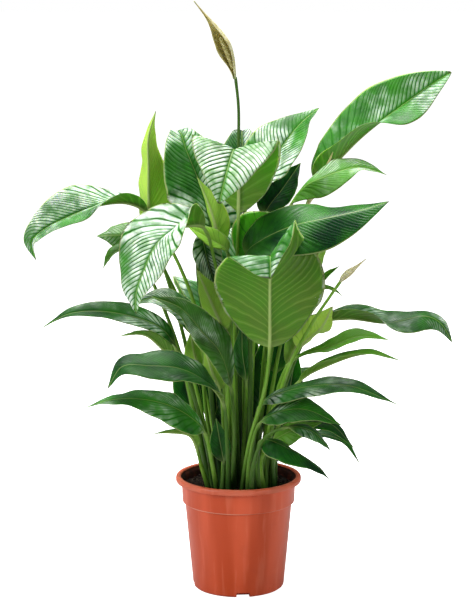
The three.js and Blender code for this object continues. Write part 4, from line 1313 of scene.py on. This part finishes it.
def turned_shell(name, profile, inside_from):
    """A closed shell turned round the upright axis. Faces past inside_from get the second material."""
    verts, rings = [], []
    for radius, height in profile:
        if radius == 0:
            rings.append([len(verts)])
            verts.append((0, 0, height * MM))
            continue
        start = len(verts)
        for k in range(TURNS):
            a = 2 * math.pi * k / TURNS
            verts.append((radius * math.cos(a) * MM, radius * math.sin(a) * MM, height * MM))
        rings.append(list(range(start, start + TURNS)))
    faces, sides = [], []
    for i, (one, two) in enumerate(zip(rings, rings[1:])):
        for k in range(TURNS):
            n = (k + 1) % TURNS
            face = [one[k % len(one)], one[n % len(one)], two[n % len(two)], two[k % len(two)]]
            faces.append(list(dict.fromkeys(face)))
            sides.append(1 if i >= inside_from else 0)
    mesh = bpy.data.meshes.new(name)
    mesh.from_pydata(verts, [], faces)
    mesh.polygons.foreach_set("material_index", sides)
    mesh.update()
    face_out(mesh)
    return mesh


DRAINS = 4
DRAIN_BEARING = -84  # the first drain, in degrees from +X
DRAIN_REACH = 66  # a box ends here, outside the wall


def drain_boxes(name, inner, width, bottom, top, index):
    """Boxes from inner outwards, one along each drain's bearing. index is their material."""
    work = bmesh.new()
    size = ((DRAIN_REACH - inner) * MM, width * MM, (top - bottom) * MM)
    middle = ((DRAIN_REACH + inner) / 2 * MM, 0, (top + bottom) / 2 * MM)
    for k in range(DRAINS):
        made = bmesh.ops.create_cube(work, size=1.0)["verts"]
        bmesh.ops.scale(work, vec=size, verts=made)
        bmesh.ops.translate(work, vec=middle, verts=made)
        turn = mathutils.Matrix.Rotation(math.radians(DRAIN_BEARING + 360 / DRAINS * k), 3, "Z")
        bmesh.ops.rotate(work, matrix=turn, verts=made)
    mesh = bpy.data.meshes.new(name)
    work.to_mesh(mesh)
    work.free()
    mesh.polygons.foreach_set("material_index", [index] * len(mesh.polygons))
    return bpy.data.objects.new(name, mesh)


def combine(piece, other, operation):
    """Applies one boolean step and drops the tool."""
    scene.collection.objects.link(other)
    modifier = piece.modifiers.new("step", "BOOLEAN")
    modifier.object, modifier.operation, modifier.solver = other, operation, "EXACT"
    graph = bpy.context.evaluated_depsgraph_get()
    mesh = bpy.data.meshes.new_from_object(piece.evaluated_get(graph), depsgraph=graph)
    piece.modifiers.remove(modifier)
    piece.data = mesh
    bpy.data.objects.remove(other)


def sharpen(mesh, degrees):
    """Smooth shading that breaks at edges sharper than an angle."""
    mesh.shade_smooth()
    work = bmesh.new()
    work.from_mesh(mesh)
    for edge in work.edges:
        edge.smooth = edge.calc_face_angle(0.0) < math.radians(degrees)
    work.to_mesh(mesh)
    work.free()


# %% [markdown]
# ## Pot plastic and soil
# The wall is terracotta-coloured plastic with a soft shine. It has faint upright flow streaks from the
# mould, fine scratches, a thin painted highlight along the step's edge, and a paler rim with crumbs of
# soil. The inside is dull and painted dark, partly soil stain and partly painted shade.

# %% Pot materials
def build_pot_material(name, inside):
    material, tree, shader = new_material(name)
    place = tree.add("ShaderNodeTexCoord").outputs["Object"]
    upright = tree.stretched(place, (1.0, 1.0, 0.07))
    height = tree.add("ShaderNodeSeparateXYZ", {"Vector": place}).outputs["Z"]
    flow, fine_flow = tree.noise(upright, 26.0, 2.0), tree.noise(upright, 110.0, 3.0)
    cloud, grit = tree.noise(place, 22.0, 3.0), tree.noise(place, 480.0, 3.0)
    colour = tree.colour(tree.ramp(flow, 0.36, 0.64), (0.5, 0.058, 0.011, 1), (0.66, 0.098, 0.034, 1))
    colour = tree.colour(tree.times(tree.ramp(fine_flow, 0.52, 0.72), 0.22), colour, (0.78, 0.23, 0.13, 1))
    colour = tree.colour(tree.times(tree.ramp(cloud, 0.55, 0.75), 0.18), colour, (0.36, 0.05, 0.02, 1))
    rim = tree.ramp(height, 0.1468, 0.1485)
    # The rolled rim is paler, in patches.
    paler_rim = tree.times(rim, tree.ramp(cloud, 0.35, 0.65, 0.25, 0.6))
    colour = tree.colour(paler_rim, colour, (0.62, 0.19, 0.115, 1))
    # A thin pale line round the step's rounded edge, broken up by noise: a painted highlight.
    painted_step_highlight = tree.times(tree.ramp(height, 0.1188, 0.1195), tree.ramp(height, 0.1209, 0.1202))
    painted_step_highlight = tree.times(painted_step_highlight, tree.ramp(tree.noise(place, 14.0, 2.0), 0.4, 0.6, 0.15, 0.6))
    colour = tree.colour(painted_step_highlight, colour, (0.8, 0.4, 0.28, 1))
    stain = tree.times(
        tree.ramp(grit, 0.6, 0.68), tree.ramp(cloud, 0.45, 0.62), tree.ramp(height, 0.1515, 0.1548)
    )
    if inside:
        # The inside is mixed almost to black: partly soil stain, partly painted shade inside the wall.
        stain_and_painted_shade = tree.ramp(tree.noise(place, 60.0, 4.0), 0.35, 0.6, 0.82, 0.97)
        colour = tree.colour(stain_and_painted_shade, colour, (0.022, 0.006, 0.004, 1))
    else:
        colour = tree.colour(tree.times(stain, 0.85), colour, (0.03, 0.012, 0.006, 1))
        splash = tree.times(tree.ramp(grit, 0.66, 0.72), tree.ramp(height, 0.03, 0.0))
        colour = tree.colour(tree.times(splash, 0.5), colour, (0.1, 0.03, 0.015, 1))
    tree.put(colour, shader.inputs["Base Color"])
    base = 0.72 if inside else 0.36
    rough = tree.plus(tree.ramp(cloud, 0.3, 0.7, base - 0.05, base + 0.06), tree.times(rim, 0.12))
    tree.put(rough, shader.inputs["Roughness"])
    scratch_place = tree.stretched(place, (1.0, 1.0, 9.0), (0.3, 0.5, 0.2))
    scratch = tree.ramp(tree.noise(scratch_place, 34.0, 6.0), 0.5, 0.53)
    relief = tree.plus(tree.times(grit, 0.35), tree.times(flow, 1.2), tree.times(scratch, 0.12))
    tree.bump(shader, relief, 0.0005, 0.3)
    coat = 0.0 if inside else 0.07
    set_inputs(shader, {"Coat Weight": coat, "Coat Roughness": 0.3, "Specular IOR Level": 0.32})
    return material


# %% Make the pot
mesh = turned_shell("pot_shell", POT_OUTSIDE + POT_INSIDE, len(POT_OUTSIDE) - 1)
plastic = build_pot_material("pot_plastic", False)
pot = new_piece("lily_nursery_pot", mesh, plastic, build_pot_material("pot_inside", True))
combine(pot, drain_boxes("hoods", 44, 22, 1, 9.5, 1), "UNION")
filled = POT_OUTSIDE[:-4] + [(0, 155)]
envelope = new_piece("envelope", turned_shell("envelope", filled, len(filled)))
scene.collection.objects.unlink(envelope)
combine(pot, envelope, "INTERSECT")
combine(pot, drain_boxes("notches", 46, 18, -1, 7.5, 0), "DIFFERENCE")
sharpen(pot.data, 38)
place_piece(pot, "pot", "nursery_pot")
print("pot:", len(pot.data.polygons), "faces, materials", [m.name for m in pot.data.materials])

# %% [markdown]
# ## The potting soil
# Dark damp peat with a crumbly top. A plug with a bumpy upper face fills the pot, and Geometry Nodes
# scatter about a thousand crumbs over it, each one a small dented lump of its own size.

# %% The crumb tree
def build_crumb_tree():
    group, tree, given, result = open_modifier(
        "soil_crumbs",
        [
            ("Density", "NodeSocketFloat", 60000.0),
            ("Smallest", "NodeSocketFloat", 0.0006),
            ("Largest", "NodeSocketFloat", 0.0026),
            ("Seed", "NodeSocketInt", 11),
        ],
    )
    place = tree.add("GeometryNodeInputPosition")
    height = tree.add("ShaderNodeSeparateXYZ", {"Vector": place}).outputs["Z"]
    normal = tree.add("GeometryNodeInputNormal")
    normal_up = tree.add("ShaderNodeSeparateXYZ", {"Vector": normal}).outputs["Z"]
    on_top = tree.times(tree.math("GREATER_THAN", height, 0.136), tree.math("GREATER_THAN", normal_up, 0.3))
    scatter = tree.add("GeometryNodeDistributePointsOnFaces", distribute_method="RANDOM")
    tree.put(given["Geometry"], scatter.inputs["Mesh"])
    tree.put(on_top, scatter.inputs["Selection"])
    tree.put(given["Density"], scatter.inputs["Density"])
    tree.put(given["Seed"], scatter.inputs["Seed"])
    lump = tree.add("GeometryNodeMeshIcoSphere", {"Radius": 1.0, "Subdivisions": 2})
    bumps = tree.add("ShaderNodeTexNoise", {"Scale": 1.7, "Detail": 2.0})
    dent = tree.add("ShaderNodeVectorMath", operation="SCALE")
    tree.put(tree.add("GeometryNodeInputNormal"), dent.inputs[0])
    tree.put(tree.times(tree.math("SUBTRACT", bumps.outputs["Fac"], 0.5), 1.4), dent.inputs["Scale"])
    dented = {"Geometry": lump.outputs["Mesh"], "Offset": dent.outputs[0]}
    rough_lump = tree.add("GeometryNodeSetPosition", dented)
    spin = tree.add("FunctionNodeRandomValue", data_type="FLOAT_VECTOR")
    tree.put((6.28, 6.28, 6.28), spin.inputs["Max"])
    tree.put(given["Seed"], spin.inputs["Seed"])
    chance = tree.add("FunctionNodeRandomValue", data_type="FLOAT")
    tree.put(given["Seed"], chance.inputs["Seed"])
    grown = tree.math("POWER", next(o for o in chance.outputs if o.enabled), 3.0)
    spread = tree.math("SUBTRACT", given["Largest"], given["Smallest"])
    size = tree.plus(given["Smallest"], tree.times(grown, spread))
    placed = {"Points": scatter.outputs["Points"], "Instance": rough_lump}
    crumbs = tree.add("GeometryNodeInstanceOnPoints", placed)
    tree.put(next(o for o in spin.outputs if o.enabled), crumbs.inputs["Rotation"])
    tree.put(size, crumbs.inputs["Scale"])
    both = tree.add("GeometryNodeJoinGeometry")
    tree.put(given["Geometry"], both.inputs[0])
    tree.put(crumbs, both.inputs[0])
    close_modifier(tree, both, given, result)
    return group


def build_soil_material():
    material, tree, shader = new_material("peat")
    place = tree.add("ShaderNodeTexCoord").outputs["Object"]
    damp, grain, fleck = [tree.noise(place, *kind) for kind in ((50.0, 4.0), (420.0, 4.0), (900.0, 1.0))]
    colour = tree.colour(tree.ramp(damp, 0.35, 0.65), (0.004, 0.002, 0.0012, 1), (0.014, 0.007, 0.004, 1))
    colour = tree.colour(tree.times(tree.ramp(grain, 0.55, 0.7), 0.5), colour, (0.06, 0.03, 0.016, 1))
    colour = tree.colour(tree.times(tree.ramp(fleck, 0.7, 0.74), 0.6), colour, (0.35, 0.27, 0.18, 1))
    tree.put(colour, shader.inputs["Base Color"])
    tree.put(tree.ramp(damp, 0.3, 0.7, 0.75, 0.98), shader.inputs["Roughness"])
    shader.inputs["Specular IOR Level"].default_value = 0.15
    tree.bump(shader, grain, 0.001, 0.7)
    return material


# %% Make the soil
SOIL_RADIUS = 74.0
SOIL_SIDES = 120
SOIL_RINGS = 46
SOIL_SKIRT = ((73.4, 124), (70.0, 117), (68.5, 100))  # radius and height down the hidden side


def soil_height(x, y, radius):
    """Bumps of three sizes, and a rise towards the wall."""
    spot = mathutils.Vector((x / 17, y / 17, 2.0))
    noise = mathutils.noise.noise
    lift = 1.5 * noise(spot) + 0.9 * noise(spot * 3.3) + 0.5 * noise(spot * 8)
    return 139.2 + lift + 1.2 * (radius / SOIL_RADIUS) ** 8


def soil_plug():
    """A closed plug whose upper face is bumpy."""
    turns = [2 * math.pi * k / SOIL_SIDES for k in range(SOIL_SIDES)]
    verts = [(0, 0, 139.6)]
    for step in range(1, SOIL_RINGS + 1):
        radius = SOIL_RADIUS * (step / SOIL_RINGS)
        for a in turns:
            x, y = radius * math.cos(a), radius * math.sin(a)
            verts.append((x, y, soil_height(x, y, radius)))
    for radius, height in SOIL_SKIRT:
        verts += [(radius * math.cos(a), radius * math.sin(a), height) for a in turns]
    verts.append((0, 0, SOIL_SKIRT[-1][1]))
    nexts = [(k + 1) % SOIL_SIDES for k in range(SOIL_SIDES)]
    faces = [(0, 1 + k, 1 + n) for k, n in enumerate(nexts)]
    last = 1 + (SOIL_RINGS + len(SOIL_SKIRT) - 1) * SOIL_SIDES
    for start in range(1, last, SOIL_SIDES):
        for k, n in enumerate(nexts):
            a, b = start + k, start + n
            faces.append((a, a + SOIL_SIDES, b + SOIL_SIDES, b))
    faces += [(last + n, last + k, len(verts) - 1) for k, n in enumerate(nexts)]
    mesh = new_mesh("soil_plug", verts, faces)
    face_out(mesh)
    return mesh


soil = grow(
    "lily_potting_soil",
    soil_plug(),
    build_crumb_tree(),
    {
        "Density": 55000.0,
        "Smallest": 0.0005,
        "Largest": 0.0024,
        "Seed": 11,
        "Material": build_soil_material(),
    },
)
place_piece(soil, "soil", "potting_soil")
print("soil:", len(soil.data.polygons), "faces")
